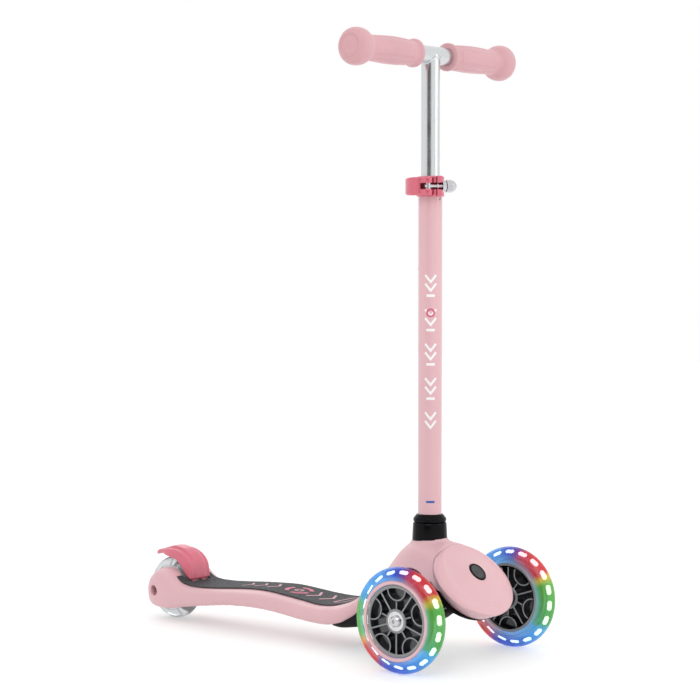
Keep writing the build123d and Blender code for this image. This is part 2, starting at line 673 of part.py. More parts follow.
def height_clip():
    """V spring inside the tube, with the snap button that shows at the back."""
    wall = COLUMN_X - INNER_TUBE_R + TUBE_WALL
    button = rod(3.9, (wall + 1.6, 0, CLIP_Z), (COLUMN_X - OUTER_TUBE_R - 1.2, 0, CLIP_Z))
    crown = Pos(COLUMN_X - OUTER_TUBE_R - 1.2, 0, CLIP_Z) * Rot(0, -90, 0) * Cone(3.9, 2.6, 1.2)
    leaf = box(wall + 0.8, wall + 1.8, -3.5, 3.5, CLIP_Z - 7, CLIP_Z + 26)
    back = side_prism([(wall + 0.8, CLIP_Z + 25), (wall + 0.8, CLIP_Z + 27),
                       (wall + 17.6, CLIP_Z - 3), (wall + 16.6, CLIP_Z - 3)], -3.5, 3.5)
    return button + crown + leaf + back


def grip():
    profile = [(27.5, CROSSBAR_R), (27.5, 15.6), (28.5, 16.5), (32.5, 16.5), (34, 15),
               (37, 13.6), (42, 14.0), (52, 14.9), (70, 15.4), (92, 15.2), (110, 14.3),
               (119, 14.2), (123, 15.6), (126, 18.2), (130, 20.6), (135, 21.5), (140, 21.2),
               (145, 18.8), (147.6, 15.0), (GRIP_END_Y, 9.5), (GRIP_END_Y, 0),
               (GRIP_END_Y - 9, 0), (GRIP_END_Y - 9, CROSSBAR_R)]
    return turned(profile, (COLUMN_X, 0, CROSSBAR_Z))


def bar_plug():
    profile = [(124, 0), (124, 7.5), (126, CROSSBAR_R - TUBE_WALL),
               (GRIP_END_Y - 9, CROSSBAR_R - TUBE_WALL), (GRIP_END_Y - 9, 0)]
    return turned(profile, (COLUMN_X, 0, CROSSBAR_Z))


# -------------------------------------------------------------------------- wheels
RIM_R = 40.5
RING_R = 44.2
BEARING = (4.0, 11.0, 7.0)  # bore radius, outer radius and width of a 608 bearing
SPOKES = 5


def wheel_tyre(radius, rim, half_width):
    shoulder = 7.0 if radius > 50 else 6.0
    corner = [(-half_width + 0.3, radius - 12), (-half_width, radius - shoulder)]
    for angle in range(170, 9, -20):
        along = (half_width - 6) * (-1 if angle > 90 else 1) + 6 * cos(radians(angle))
        corner.append((along, radius - shoulder + shoulder * sin(radians(angle))))
    corner += [(half_width, radius - shoulder), (half_width - 0.3, radius - 12)]
    side = min(half_width - 1.2, HUB_FACE + 1.0)
    profile = [(-side, rim), (-side - 0.3, rim + 2)] + corner + [(side + 0.3, rim + 2), (side, rim)]
    return turned(profile, (0, 0, 0))


LIGHTS = 20
LIGHT_R = (52.0, 58.0)


def light_bar(angle):
    middle = (LIGHT_R[0] + LIGHT_R[1]) / 2
    pill = SlotOverall(10.5, LIGHT_R[1] - LIGHT_R[0], rotation=90)
    bar = extrude(Plane(origin=(0, -5, 0), z_dir=(0, 1, 0), x_dir=(1, 0, 0)) * Pos(middle, 0) * pill, 10)
    return Rot(0, angle, 0) * bar


def front_lights():
    return group(ring_of(LIGHTS, light_bar))


def front_tyre():
    tyre = wheel_tyre(FRONT_WHEEL_R, RIM_R, TYRE_WIDTH / 2)
    tyre -= turned([(8.0, RIM_R - 1), (8.0, RING_R), (14, RING_R), (14, RIM_R - 1)], (0, 0, 0))
    for bar in ring_of(LIGHTS, light_bar):
        tyre -= bar
    return tyre


def hub_ring():
    """Coloured ring on the outer face of a front wheel."""
    profile = [(8.0, RIM_R), (8.0, RING_R), (10.4, RING_R), (11.0, RING_R - 0.8),
               (11.0, RIM_R + 0.8), (10.4, RIM_R)]
    return turned(profile, (0, 0, 0))


def spoke_pattern():
    """Five straight spokes, and five loops that hang from the rim on short stems."""
    sketch = Sketch()
    for index in range(SPOKES):
        turn = 360.0 / SPOKES * index
        sketch += Rot(0, 0, turn) * (Pos(25, 0) * Rectangle(26, 2.4))
        loop = Pos(37.5, 0) * (Circle(13.5) - Circle(11.5))
        stem = Pos(18.5, 0) * Rectangle(12, 2.4)
        sketch += Rot(0, 0, turn + 180.0 / SPOKES) * (loop + stem)
    return sketch & (Circle(38) - Circle(12.0))


def wheel_hub(rim, half_width):
    """Spoked hub with a seat for a bearing in each face."""
    plane = Plane(origin=(0, -half_width + 2, 0), z_dir=(0, 1, 0), x_dir=(1, 0, 0))
    spokes = extrude(plane * spoke_pattern(), 2 * half_width - 4)
    hub = spokes + tube(14, 8, (0, -half_width, 0), (0, half_width, 0))
    hub += tube(rim, rim - 3.5, (0, -half_width, 0), (0, half_width, 0))
    width = BEARING[2]
    hub -= rod(BEARING[1], (0, -half_width, 0), (0, -half_width + width, 0))
    hub -= rod(BEARING[1], (0, half_width - width, 0), (0, half_width, 0))
    return hub


def rear_hub():
    half_width = TYRE_WIDTH / 2
    hub = tube(14, 8, (0, -half_width, 0), (0, half_width, 0))
    hub += tube(26.5, 23.5, (0, -half_width + 1, 0), (0, half_width - 1, 0))
    plane = Plane(origin=(0, -half_width + 2, 0), z_dir=(0, 1, 0), x_dir=(1, 0, 0))
    sketch = Sketch()
    for index in range(2 * SPOKES):
        sketch += Rot(0, 0, 180.0 / SPOKES * index) * (Pos(18.8, 0) * Rectangle(10.5, 2.6))
    hub += extrude(plane * sketch, 2 * half_width - 4)
    width = BEARING[2]
    hub -= rod(BEARING[1], (0, -half_width, 0), (0, -half_width + width, 0))
    hub -= rod(BEARING[1], (0, half_width - width, 0), (0, half_width, 0))
    return hub


def ball_bearing(low):
    """Rings, seven balls and two shields, from y = low to y = low + width."""
    bore, outer, width = BEARING
    middle = low + width / 2
    track = 7.6
    face_out = make_face(Polyline((9.2, 0, low), (outer, 0, low), (outer, 0, low + width),
                                  (9.2, 0, low + width), close=True))
    face_in = make_face(Polyline((bore + FIT, 0, low), (6.0, 0, low), (6.0, 0, low + width),
                                 (bore + FIT, 0, low + width), close=True))
    race = Plane.XZ * Pos(track, middle) * Circle(2.0)
    rings = [revolve(face_out - race, Axis.Z), revolve(face_in - race, Axis.Z)]
    pieces = [Plane(origin=(0, 0, 0), z_dir=(0, 1, 0)) * ring for ring in rings]
    for angle in range(0, 360, 45):
        x = track * cos(radians(angle))
        z = track * sin(radians(angle))
        pieces.append(Pos(x, middle, z) * Sphere(1.95))
    for y in (low + 0.3, low + width - 0.8):
        pieces.append(tube(9.2, 6.3, (0, y, 0), (0, y + 0.5, 0)))
    return pieces


def wheel_bearings(half_width):
    return group(ball_bearing(-half_width) + ball_bearing(half_width - BEARING[2]))


def wheel_spacer(half_width):
    reach = half_width - BEARING[2]
    return tube(6.0, BEARING[0] + FIT, (0, -reach, 0), (0, reach, 0))


def front_axle():
    """Button-head bolt, from outside the wheel into the truck arm."""
    face = HALF_TRACK + HUB_FACE
    shank = rod(AXLE_R, (0, AXLE_ROOT_Y, 60.5), (0, face + 1.0, 60.5))
    profile = [(face + 1.0, 0), (face + 1.0, 6.4), (face + 2.4, 6.2), (face + 3.8, 4.8),
               (face + 4.2, 3.6), (face + 4.2, 0)]
    head = turned(profile, (0, 0, 60.5))
    plane = Plane(origin=(0, face + 1.8, 60.5), z_dir=(0, 1, 0))
    socket = extrude(plane * RegularPolygon(2.9, 6), 4)
    return shank + head - socket


def front_washer():
    face = HALF_TRACK + HUB_FACE
    return tube(7.0, AXLE_R, (0, face, 60.5), (0, face + 1.0, 60.5))


def on_front(shape):
    return Pos(0, HALF_TRACK, FRONT_WHEEL_R) * shape


def on_rear(shape):
    return Pos(REAR_AXLE_X, 0, REAR_AXLE_Z) * shape


def rear_axle():
    x, z = REAR_AXLE_X, REAR_AXLE_Z
    shank = rod(AXLE_R, (x, -20.5, z), (x, 25.0, z))
    head = rod(6.3, (x, -24.5, z), (x, -20.5, z))
    plane = Plane(origin=(x, -25, z), z_dir=(0, 1, 0))
    return shank + head - extrude(plane * RegularPolygon(2.9, 6), 3)


def rear_axle_nut():
    plane = Plane(origin=(REAR_AXLE_X, 20.5, REAR_AXLE_Z), z_dir=(0, 1, 0))
    nut = extrude(plane * RegularPolygon(6.5, 6), 5)
    return nut - rod(AXLE_R, (REAR_AXLE_X, 10, REAR_AXLE_Z), (REAR_AXLE_X, 40, REAR_AXLE_Z))


def rear_spacers():
    x, z = REAR_AXLE_X, REAR_AXLE_Z
    face = TYRE_WIDTH / 2 + 0.05
    left = tube(6.0, AXLE_R, (x, face, z), (x, FORK_GAP, z))
    return group([left, mirrored(left)])


# --------------------------------------------------------------------------- brake
BRAKE_X = -402.0
BRAKE_Z = 45.0
BRAKE_PIN_R = 2.0
BRAKE_PIN_HALF = 26.0
# outer outline of the mudguard brake in side view, front foot to tail
BRAKE_TOP = [(-404.5, 58), (-405, 66), (-406.5, 73), (-410, 79), (-418, 86), (-430, 91.6),
             (-443, 94.8), (-455, 95.0), (-466, 91.6), (-480, 86.8), (-492.9, 82.8)]
BRAKE_UNDER = [(-491.5, 79.6), (-479, 82.4), (-466, 85.6), (-455, 87.0), (-443, 86.4),
               (-431, 83.0), (-421, 76.5), (-415.5, 68), (-413, 58)]


def brake_plan():
    outline = [(-390, 19), (-404, 21), (-420, 22), (-440, 22), (-455, 21), (-470, 18.5),
               (-482, 16.5), (-489, 14), (-492.2, 8), (-492.95, 0)]
    left = Spline(*outline, tangents=[(-1, 0.1), (0, -1)])
    right = mirror(left, about=Plane.XZ)
    return extrude(closed_face(left, right, Line(left @ 0, right @ 0)), 200)


def brake_guard():
    front = [(-396, 56.5), (-396, 60), (-400, 62)]
    outline = front + BRAKE_TOP + BRAKE_UNDER + [(-412, 56.5)]
    guard = side_prism(outline, -30, 30) & brake_plan()
    skirt_line = [(-404.5, 58), (-418, 58), (-424, 63), (-429.5, 70), (-438.5, 77),
                  (-451, 80.5), (-466, 82.5), (-470, 88), (-455, 93), (-440, 92), (-425, 88),
                  (-410, 76)]
    for side in (-1, 1):
        low = 17.5 if side > 0 else -30
        guard += side_prism(skirt_line, low, low + 12.5) & brake_plan()
    lug = [(-397, 57), (-411.5, 57), (-407, 45), (-404, 41), (-400, 41), (-397, 45)]
    guard += side_prism(lug, -12, -5) + side_prism(lug, 5, 12)
    guard -= rod(BRAKE_PIN_R + FIT, (BRAKE_X, -30, BRAKE_Z), (BRAKE_X, 30, BRAKE_Z))
    guard -= box(-414, -403.5, -7, 7, 61, 68) & side_prism([(-400, 60), (-409, 60), (-409, 69), (-400, 69)], -7, 7)
    return guard


def brake_shoe():
    """Steel wear plate under the guard, bent to the wheel."""
    lower = [(x, z - 1.4) for x, z in BRAKE_UNDER[2:7]]
    band = BRAKE_UNDER[2:7] + list(reversed(lower))
    return side_prism(band, -9, 9)


def brake_pin():
    return rod(BRAKE_PIN_R, (BRAKE_X, -BRAKE_PIN_HALF, BRAKE_Z), (BRAKE_X, BRAKE_PIN_HALF, BRAKE_Z))


def brake_spring():
    turns = coil(3.1, 1.1, 7.6, 5, (BRAKE_X, -3.8, BRAKE_Z), (0, 1, 0))
    return turns


# ------------------------------------------------------------------------- export
def build():
    save("deck_body", deck_body())
    save("grip_pad", grip_pad())
    save("belly_pan", belly_pan())
    save("belly_screws", group(self_tapping_screw(x, y) for x, y in BELLY_SCREWS))
    save("front_cover", front_cover())
    save("cover_back", cover_back())
    save("cover_screws", group(cover_screw(u, v) for u, v in COVER_SCREWS))
    save("button_bezel", button_bezel())
    save("lock_button", lock_button())
    save("lock_spring", lock_spring())
    save("steering_head", steering_head())
    save("head_screws", group(head_screw(x, y) for x, y in BRACKET_SCREWS))
    save("kingpin", kingpin())
    save("kingpin_nut", kingpin_nut())
    save("kingpin_washer", kingpin_washer())
    save("truck", truck())
    save("pivot_bushes", pivot_bushes())
    save("lean_springs", group([lean_spring(-1), lean_spring(1)]))
    save("column_collar", column_collar())
    save("collar_ring", collar_ring())
    save("outer_tube", outer_tube())
    save("column_pin", column_pin())
    save("tube_sleeve", tube_sleeve())
    save("clamp_collar", clamp_collar())
    save("clamp_lever", clamp_lever())
    save("lever_barrel", lever_barrel())
    save("clamp_bolt", clamp_bolt())
    save("clamp_washers", clamp_washers())
    save("clamp_nut", clamp_nut())
    save("handlebar", handlebar())
    save("tube_glide", tube_glide())
    save("height_clip", height_clip())
    save("grip_left", grip())
    save("grip_right", mirrored(grip()))
    save("bar_plugs", group([bar_plug(), mirrored(bar_plug())]))

    half_width = HUB_FACE
    wheel = {"tyre": front_tyre(), "hub": wheel_hub(RIM_R, half_width), "ring": hub_ring(),
             "lights": front_lights(), "bearings": wheel_bearings(half_width),
             "spacer": wheel_spacer(half_width)}
    for name, shape in wheel.items():
        save(f"front_{name}_left", on_front(shape))
        save(f"front_{name}_right", mirrored(on_front(shape)))
    save("front_axles", group([front_axle(), mirrored(front_axle())]))
    save("front_washers", group([front_washer(), mirrored(front_washer())]))

    rear_half = TYRE_WIDTH / 2
    save("rear_tyre", on_rear(wheel_tyre(REAR_WHEEL_R, 26.5, rear_half)))
    save("rear_hub", on_rear(rear_hub()))
    save("rear_bearings", on_rear(wheel_bearings(rear_half)))
    save("rear_wheel_spacer", on_rear(wheel_spacer(rear_half)))
    save("rear_axle", rear_axle())
    save("rear_axle_nut", rear_axle_nut())
    save("rear_spacers", rear_spacers())
    save("brake_guard", brake_guard())
    save("brake_shoe", brake_shoe())
    save("brake_pin", brake_pin())
    save("brake_spring", brake_spring())


build()
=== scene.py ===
"""Looks of the three-wheeled kick scooter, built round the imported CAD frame.

Shapes are worked out in millimetres from the front axle line (X forward, Y to the
rider's left, Z up from the ground), and placed in the frame by mesh_piece().
"""
import bpy
import json
import math
import numpy as np
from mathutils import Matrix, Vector


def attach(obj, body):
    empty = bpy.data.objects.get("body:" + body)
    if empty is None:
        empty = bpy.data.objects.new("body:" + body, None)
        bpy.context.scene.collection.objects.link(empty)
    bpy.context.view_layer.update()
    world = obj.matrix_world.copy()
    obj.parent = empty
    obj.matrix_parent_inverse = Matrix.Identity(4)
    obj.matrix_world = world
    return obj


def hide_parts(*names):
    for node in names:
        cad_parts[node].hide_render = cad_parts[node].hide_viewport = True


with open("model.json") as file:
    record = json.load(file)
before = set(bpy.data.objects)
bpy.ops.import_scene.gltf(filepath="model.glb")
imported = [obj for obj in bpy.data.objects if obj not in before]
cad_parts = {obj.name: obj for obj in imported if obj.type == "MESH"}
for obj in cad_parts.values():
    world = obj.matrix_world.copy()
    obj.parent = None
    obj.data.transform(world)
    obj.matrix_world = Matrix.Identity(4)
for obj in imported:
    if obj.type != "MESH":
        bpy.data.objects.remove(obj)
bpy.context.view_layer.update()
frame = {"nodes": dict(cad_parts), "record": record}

# ------------------------------------------------------------------- dimensions, mm
MM = 0.001
FRONT_WHEEL_R = 60.5
REAR_WHEEL_R = 40.0
WHEELBASE = 456.7
HALF_TRACK = 108.1
SHIFT_X = (FRONT_WHEEL_R + WHEELBASE + REAR_WHEEL_R) / 2 - FRONT_WHEEL_R
REAR_AXLE_X = -WHEELBASE
COLUMN_X = -41.7
CROSSBAR_Z = 703.7
OUTER_TUBE_R = 14.0
CROSSBAR_R = 10.5
PIVOT_X = 27.8
PIVOT_Z = 99.5
PIVOT_TILT = math.radians(47)
CLAMP_TURN = math.radians(-35)
CLAMP_MID_Z = 551.0

# Frame of the lean axis: u down the cover's face, v to the left, t out along the axis.
LEAN_OUT = np.array([math.sin(PIVOT_TILT), 0, math.cos(PIVOT_TILT)])
LEAN_DOWN = np.array([math.cos(PIVOT_TILT), 0, -math.sin(PIVOT_TILT)])
LEAN_ORIGIN = np.array([PIVOT_X, 0, PIVOT_Z])


# --------------------------------------------------------------------- mesh helpers
def mesh_piece(name, points, faces, material, body, replaces=(), slot=None, flat=False,
               stage=False):
    """A mesh object from millimetre points, riding on a CAD body."""
    points = (np.asarray(points, float) + [SHIFT_X, 0, 0]) * MM
    mesh = bpy.data.meshes.new(name)
    mesh.from_pydata(points.tolist(), [], [list(face) for face in faces])
    mesh.validate()
    mesh.update()
    if not flat:
        mesh.polygons.foreach_set("use_smooth", [True] * len(mesh.polygons))
        mesh.set_sharp_from_angle(angle=math.radians(38))
    mesh.materials.append(material)
    piece = bpy.data.objects.new(name, mesh)
    bpy.context.scene.collection.objects.link(piece)
    if stage:
        return piece
    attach(piece, body)
    if replaces:
        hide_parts(*replaces)
    return piece


def mirror_y(points, faces):
    points = np.asarray(points, float) * [1, -1, 1]
    return points, [tuple(reversed(face)) for face in faces]


def join(*parts):
    """Several (points, faces) pairs as one."""
    points, faces, start = [], [], 0
    for part_points, part_faces in parts:
        points.append(np.asarray(part_points, float))
        faces += [tuple(int(i) + start for i in face) for face in part_faces]
        start += len(part_points)
    return np.concatenate(points), faces


def placed(part, origin, axis=(0, 0, 1), across=(1, 0, 0)):
    """Turn a part drawn round +Z so that Z runs along axis, and move it to origin."""
    points, faces = part
    z = np.asarray(axis, float) / np.linalg.norm(axis)
    x = np.asarray(across, float)
    x = x - z * x.dot(z)
    if np.linalg.norm(x) < 1e-6:
        x = np.array([0.0, 0.0, 1.0]) - z * z[2]
    x /= np.linalg.norm(x)
    y = np.cross(z, x)
    return np.asarray(points) @ np.stack([x, y, z]) + origin, faces


def lean_placed(part):
    return placed(part, LEAN_ORIGIN, LEAN_OUT, LEAN_DOWN)


def column_placed(part):
    """From the clamp's own frame, ears on +X, to the column."""
    points, faces = part
    c, s = math.cos(CLAMP_TURN), math.sin(CLAMP_TURN)
    turn = np.array([[c, s, 0], [-s, c, 0], [0, 0, 1]])
    return np.asarray(points) @ turn + [COLUMN_X, 0, 0], faces


def grid_faces(rows, columns, wrap_columns=True, wrap_rows=False):
    faces = []
    for row in range(rows if wrap_rows else rows - 1):
        below = (row + 1) % rows
        for column in range(columns if wrap_columns else columns - 1):
            right = (column + 1) % columns
            faces.append((row * columns + column, row * columns + right,
                          below * columns + right, below * columns + column))
    return faces


def revolved(profile, segments=96):
    """A body of revolution round Z from (along, radius) points, in order from low to high."""
    angles = np.linspace(0, 2 * math.pi, segments, endpoint=False)
    rings = [[(radius * math.cos(a), radius * math.sin(a), along) for a in angles]
             for along, radius in profile]
    points = np.array(rings).reshape(-1, 3)
    faces = grid_faces(len(profile), segments)
    return points, faces


def rounded(points, radius, steps=4, closed=True):
    """Round the corners of a polyline of (a, b) points."""
    points = [np.array(p, float) for p in points]
    count = len(points)
    out = []
    for index in range(count):
        if not closed and index in (0, count - 1):
            out.append(points[index])
            continue
        here = points[index]
        before = points[index - 1] - here
        after = points[(index + 1) % count] - here
        reach = min(radius, np.linalg.norm(before) * 0.45, np.linalg.norm(after) * 0.45)
        start = here + before / np.linalg.norm(before) * reach
        end = here + after / np.linalg.norm(after) * reach
        for step in range(steps + 1):
            share = step / steps
            out.append((1 - share) ** 2 * start + 2 * share * (1 - share) * here + share ** 2 * end)
    return out


def prism(outline, low, high, bevel=0.0):
    """Extrude an (x, y) outline from z = low to high, with small bevels on both ends."""
    outline = np.array(outline, float)
    count = len(outline)
    if bevel:
        tangent = np.roll(outline, -1, axis=0) - np.roll(outline, 1, axis=0)
        normal = np.stack([tangent[:, 1], -tangent[:, 0]], axis=1)
        normal /= np.maximum(np.linalg.norm(normal, axis=1, keepdims=True), 1e-9)
        area = np.sum(outline[:, 0] * np.roll(outline[:, 1], -1)
                      - outline[:, 1] * np.roll(outline[:, 0], -1))
        small = outline - normal * bevel * (1 if area > 0 else -1)
        levels = [(small, low), (outline, low + bevel), (outline, high - bevel), (small, high)]
    else:
        levels = [(outline, low), (outline, high)]
    points = np.concatenate([np.column_stack([ring, np.full(count, z)]) for ring, z in levels])
    faces = grid_faces(len(levels), count)
    faces.append(tuple(reversed(range(count))))
    last = (len(levels) - 1) * count
    faces.append(tuple(range(last, last + count)))
    return points, faces


def smooth_table(x, table_x, table_y):
    """Smooth curve through a table, by cubic pieces with averaged slopes."""
    table_x = np.asarray(table_x, float)
    table_y = np.asarray(table_y, float)
    slope = np.gradient(table_y, table_x)
    x = np.clip(x, table_x[0], table_x[-1])
    index = np.clip(np.searchsorted(table_x, x, side="right") - 1, 0, len(table_x) - 2)
    gap = table_x[index + 1] - table_x[index]
    s = (x - table_x[index]) / gap
    y0, y1 = table_y[index], table_y[index + 1]
    m0, m1 = slope[index] * gap, slope[index + 1] * gap
    return (y0 * (2 * s ** 3 - 3 * s ** 2 + 1) + m0 * (s ** 3 - 2 * s ** 2 + s)
            + y1 * (3 * s ** 2 - 2 * s ** 3) + m1 * (s ** 3 - s ** 2))


# ----------------------------------------------------------- blended solids (moulded)
def soft_max(a, b, reach):
    overlap = np.maximum(reach - np.abs(a - b), 0) / reach
    return np.maximum(a, b) + overlap * overlap * reach / 4


def soft_min(a, b, reach):
    return -soft_max(-a, -b, reach)


def sample_box(low, high, step):
    axes = [np.arange(lo, hi + step, step) for lo, hi in zip(low, high)]
    return np.meshgrid(*axes, indexing="ij", sparse=True)


def surface(field, low, step):
    """Surface of a sampled solid (negative inside) as points and quads."""
    inside = field < 0
    size = np.array(field.shape)
    count = np.zeros(size - 1, np.int8)
    for i in (0, 1):
        for j in (0, 1):
            for k in (0, 1):
                count += inside[i:size[0] - 1 + i, j:size[1] - 1 + j, k:size[2] - 1 + k]
    active = (count > 0) & (count < 8)
    cells = np.argwhere(active)
    number = np.full(active.shape, -1, np.int64)
    number[active] = np.arange(len(cells))
    total = np.zeros((len(cells), 3))
    hits = np.zeros(len(cells))
    units = np.eye(3, dtype=int)
    for axis in range(3):
        side_a, side_b = (axis + 1) % 3, (axis + 2) % 3
        for corner in range(4):
            start = cells + units[side_a] * (corner & 1) + units[side_b] * (corner >> 1)
            end = start + units[axis]
            value_a = field[tuple(start.T)]
            value_b = field[tuple(end.T)]
            cross = (value_a < 0) != (value_b < 0)
            share = value_a[cross] / (value_a[cross] - value_b[cross])
            total[cross] += start[cross] + np.outer(share, units[axis])
            hits[cross] += 1
    points = np.array(low) + step * total / hits[:, None]
    faces = []
    for axis in range(3):
        side_a, side_b = (axis + 1) % 3, (axis + 2) % 3
        lower = np.take(inside, range(size[axis] - 1), axis=axis)
        upper = np.take(inside, range(1, size[axis]), axis=axis)
        edges = np.argwhere(lower != upper)
        for side in (side_a, side_b):
            edges = edges[(edges[:, side] >= 1) & (edges[:, side] <= size[side] - 2)]
        corners = [edges - units[side_a] - units[side_b], edges - units[side_b], edges,
                   edges - units[side_a]]
        quads = np.stack([number[tuple(c.T)] for c in corners], axis=1)
        outward = lower[tuple(edges.T)]
        quads[~outward] = quads[~outward][:, ::-1]
        faces.append(quads)
    return points, np.concatenate(faces).tolist()


def moulded(shape, low, high, step):
    """Mesh of a solid given as a function of x, y, z that is negative inside."""
    return surface(shape(*sample_box(low, high, step)), low, step)


# ------------------------------------------------------------------------ materials
class Nodes:
    """Short calls for building one material's node tree."""

    def __init__(self, name):
        self.material = bpy.data.materials.new(name)
        self.material.use_nodes = True
        self.tree = self.material.node_tree
        self.tree.nodes.clear()
        self.output = self.add("ShaderNodeOutputMaterial")
        self.shader = self.add("ShaderNodeBsdfPrincipled")
        self.link(self.shader.outputs["BSDF"], self.output.inputs["Surface"])
        self.place = self.add("ShaderNodeTexCoord").outputs["Object"]

    def add(self, kind, **settings):
        node = self.tree.nodes.new(kind)
        for key, value in settings.items():
            setattr(node, key, value)
        return node

    def link(self, source, target):
        self.tree.links.new(source, target)

    def put(self, target, value):
        if hasattr(value, "is_output"):
            self.link(value, target)
        else:
            target.default_value = value

    def math(self, operation, a, b=0.0):
        node = self.add("ShaderNodeMath", operation=operation)
        for target, value in zip(node.inputs, (a, b)):
            self.put(target, value)
        return node.outputs[0]

    def noise(self, scale, detail=4.0, rough=0.5, stretch=None):
        node = self.add("ShaderNodeTexNoise")
        source = self.place
        if stretch:
            mapping = self.add("ShaderNodeMapping")
            mapping.inputs["Scale"].default_value = stretch
            self.link(source, mapping.inputs["Vector"])
            source = mapping.outputs["Vector"]
        self.link(source, node.inputs["Vector"])
        node.inputs["Scale"].default_value = scale
        node.inputs["Detail"].default_value = detail
        node.inputs["Roughness"].default_value = rough
        return node.outputs["Fac"]

    def spread(self, value, low, high, low_in=0.3, high_in=0.7):
        node = self.add("ShaderNodeMapRange")
        self.link(value, node.inputs["Value"])
        for key, number in (("From Min", low_in), ("From Max", high_in),
                            ("To Min", low), ("To Max", high)):
            node.inputs[key].default_value = number
        return node.outputs["Result"]

    def mix(self, factor, first, second):
        node = self.add("ShaderNodeMix", data_type="RGBA")
        self.put(node.inputs["Factor"], factor)
        self.put(node.inputs["A"], first)
        self.put(node.inputs["B"], second)
        return node.outputs["Result"]

    def ramp(self, value, stops):
        node = self.add("ShaderNodeValToRGB")
        elements = node.color_ramp.elements
        while len(elements) < len(stops):
            elements.new(0.5)
        for element, (position, colour) in zip(elements, stops):
            element.position = position
            element.color = (*colour, 1)
        self.link(value, node.inputs["Fac"])
        return node.outputs["Color"]

    def bump(self, height, distance, strength=1.0):
        node = self.add("ShaderNodeBump")
        node.inputs["Distance"].default_value = distance
        node.inputs["Strength"].default_value = strength
        self.link(height, node.inputs["Height"])
        return node.outputs["Normal"]

    def set(self, **values):
        for key, value in values.items():
            self.put(self.shader.inputs[key.replace("_", " ")], value)

    def axes(self, centre):
        """Object coordinates in metres, measured from centre (millimetres)."""
        shift = self.add("ShaderNodeVectorMath", operation="SUBTRACT")
        self.link(self.place, shift.inputs[0])
        shift.inputs[1].default_value = [(centre[0] + SHIFT_X) * MM, centre[1] * MM, centre[2] * MM]
        split = self.add("ShaderNodeSeparateXYZ")
        self.link(shift.outputs[0], split.inputs[0])
        return split.outputs


def tinted(colour, factor):
    return (*[min(1.0, channel * factor) for channel in colour], 1)


def moulding(name, colour, roughness=0.38, grain=900.0, grain_depth=0.00002, coat=0.15,
             soft=0.0, shine=0.45):
    """Injection-moulded plastic: faint colour drift, fine spark grain and soft sheen."""
    n = Nodes(name)
    drift = n.spread(n.noise(9.0, 3.0), 0.0, 1.0)
    base = n.mix(drift, tinted(colour, 0.97), tinted(colour, 1.03))
    fine = n.noise(grain, 5.0, 0.6)
    rough = n.spread(n.noise(60.0, 4.0), roughness - 0.05, roughness + 0.05)
    n.set(Base_Color=base, Roughness=rough, Normal=n.bump(fine, grain_depth, 0.6))
    n.set(Coat_Weight=coat, Coat_Roughness=0.25, IOR=1.49, Specular_IOR_Level=shine)
    if soft:
        n.set(Subsurface_Weight=soft, Subsurface_Radius=(0.004, 0.0015, 0.0012))
    return n.material


def rubbery(name, colour, roughness=0.55):
    n = Nodes(name)
    drift = n.spread(n.noise(14.0, 3.0), 0.0, 1.0)
    base = n.mix(drift, tinted(colour, 0.95), tinted(colour, 1.03))
    grain = n.noise(1400.0, 3.0, 0.7)
    rough = n.spread(n.noise(90.0, 3.0), roughness - 0.06, roughness + 0.06)
    n.set(Base_Color=base, Roughness=rough, Normal=n.bump(grain, 0.00003, 0.7))
    n.set(Sheen_Weight=0.15, Sheen_Roughness=0.5, IOR=1.5, Specular_IOR_Level=0.4)
    n.set(Subsurface_Weight=0.12, Subsurface_Radius=(0.003, 0.0012, 0.001))
    return n.material


def metal(name, colour, roughness=0.25, streak=(1, 1, 1), depth=0.000004, anisotropic=0.0):
    """Metal with fine drawn or turned streaks and slight smudging."""
    n = Nodes(name)
    lines = n.noise(1500.0, 4.0, 0.6, stretch=streak)
    smudge = n.noise(35.0, 4.0)
    rough = n.spread(smudge, roughness * 0.8, roughness * 1.25)
    base = n.mix(n.spread(lines, 0.0, 1.0), tinted(colour, 0.93), tinted(colour, 1.05))
    n.set(Base_Color=base, Metallic=1.0, Roughness=rough, Normal=n.bump(lines, depth, 0.5))
    n.set(Anisotropic=anisotropic)
    return n.material


def painted(name, colour, roughness=0.3, metallic=0.0, coat=0.6, flake=False):
    """Paint or anodising: slight orange peel under a clear layer."""
    n = Nodes(name)
    peel = n.noise(420.0, 2.0, 0.4)
    drift = n.spread(n.noise(6.0, 3.0), 0.0, 1.0)
    base = n.mix(drift, tinted(colour, 0.97), tinted(colour, 1.03))
    rough = n.spread(n.noise(70.0, 4.0), roughness - 0.04, roughness + 0.05)
    n.set(Base_Color=base, Roughness=rough, Metallic=metallic)
    n.set(Normal=n.bump(peel, 0.00003, 0.25), Coat_Weight=coat, Coat_Roughness=0.18)
    if flake:
        n.set(Specular_IOR_Level=0.6)
    return n.material


def grip_tape(name):
    """Coarse black tread of the deck: packed grains that catch the light."""
    n = Nodes(name)
    cells = n.add("ShaderNodeTexVoronoi")
    n.link(n.place, cells.inputs["Vector"])
    cells.inputs["Scale"].default_value = 1100.0
    height = n.math("SUBTRACT", 1.0, cells.outputs["Distance"])
    speck = n.spread(n.noise(1600.0, 3.0, 0.7), 0.0, 1.0, 0.45, 0.75)
    base = n.mix(speck, (0.030, 0.032, 0.036, 1), (0.11, 0.115, 0.125, 1))
    rough = n.spread(n.noise(500.0, 3.0), 0.55, 0.9)
    n.set(Base_Color=base, Roughness=rough, Normal=n.bump(height, 0.00025, 0.8))
    n.set(Specular_IOR_Level=0.4)
    return n.material


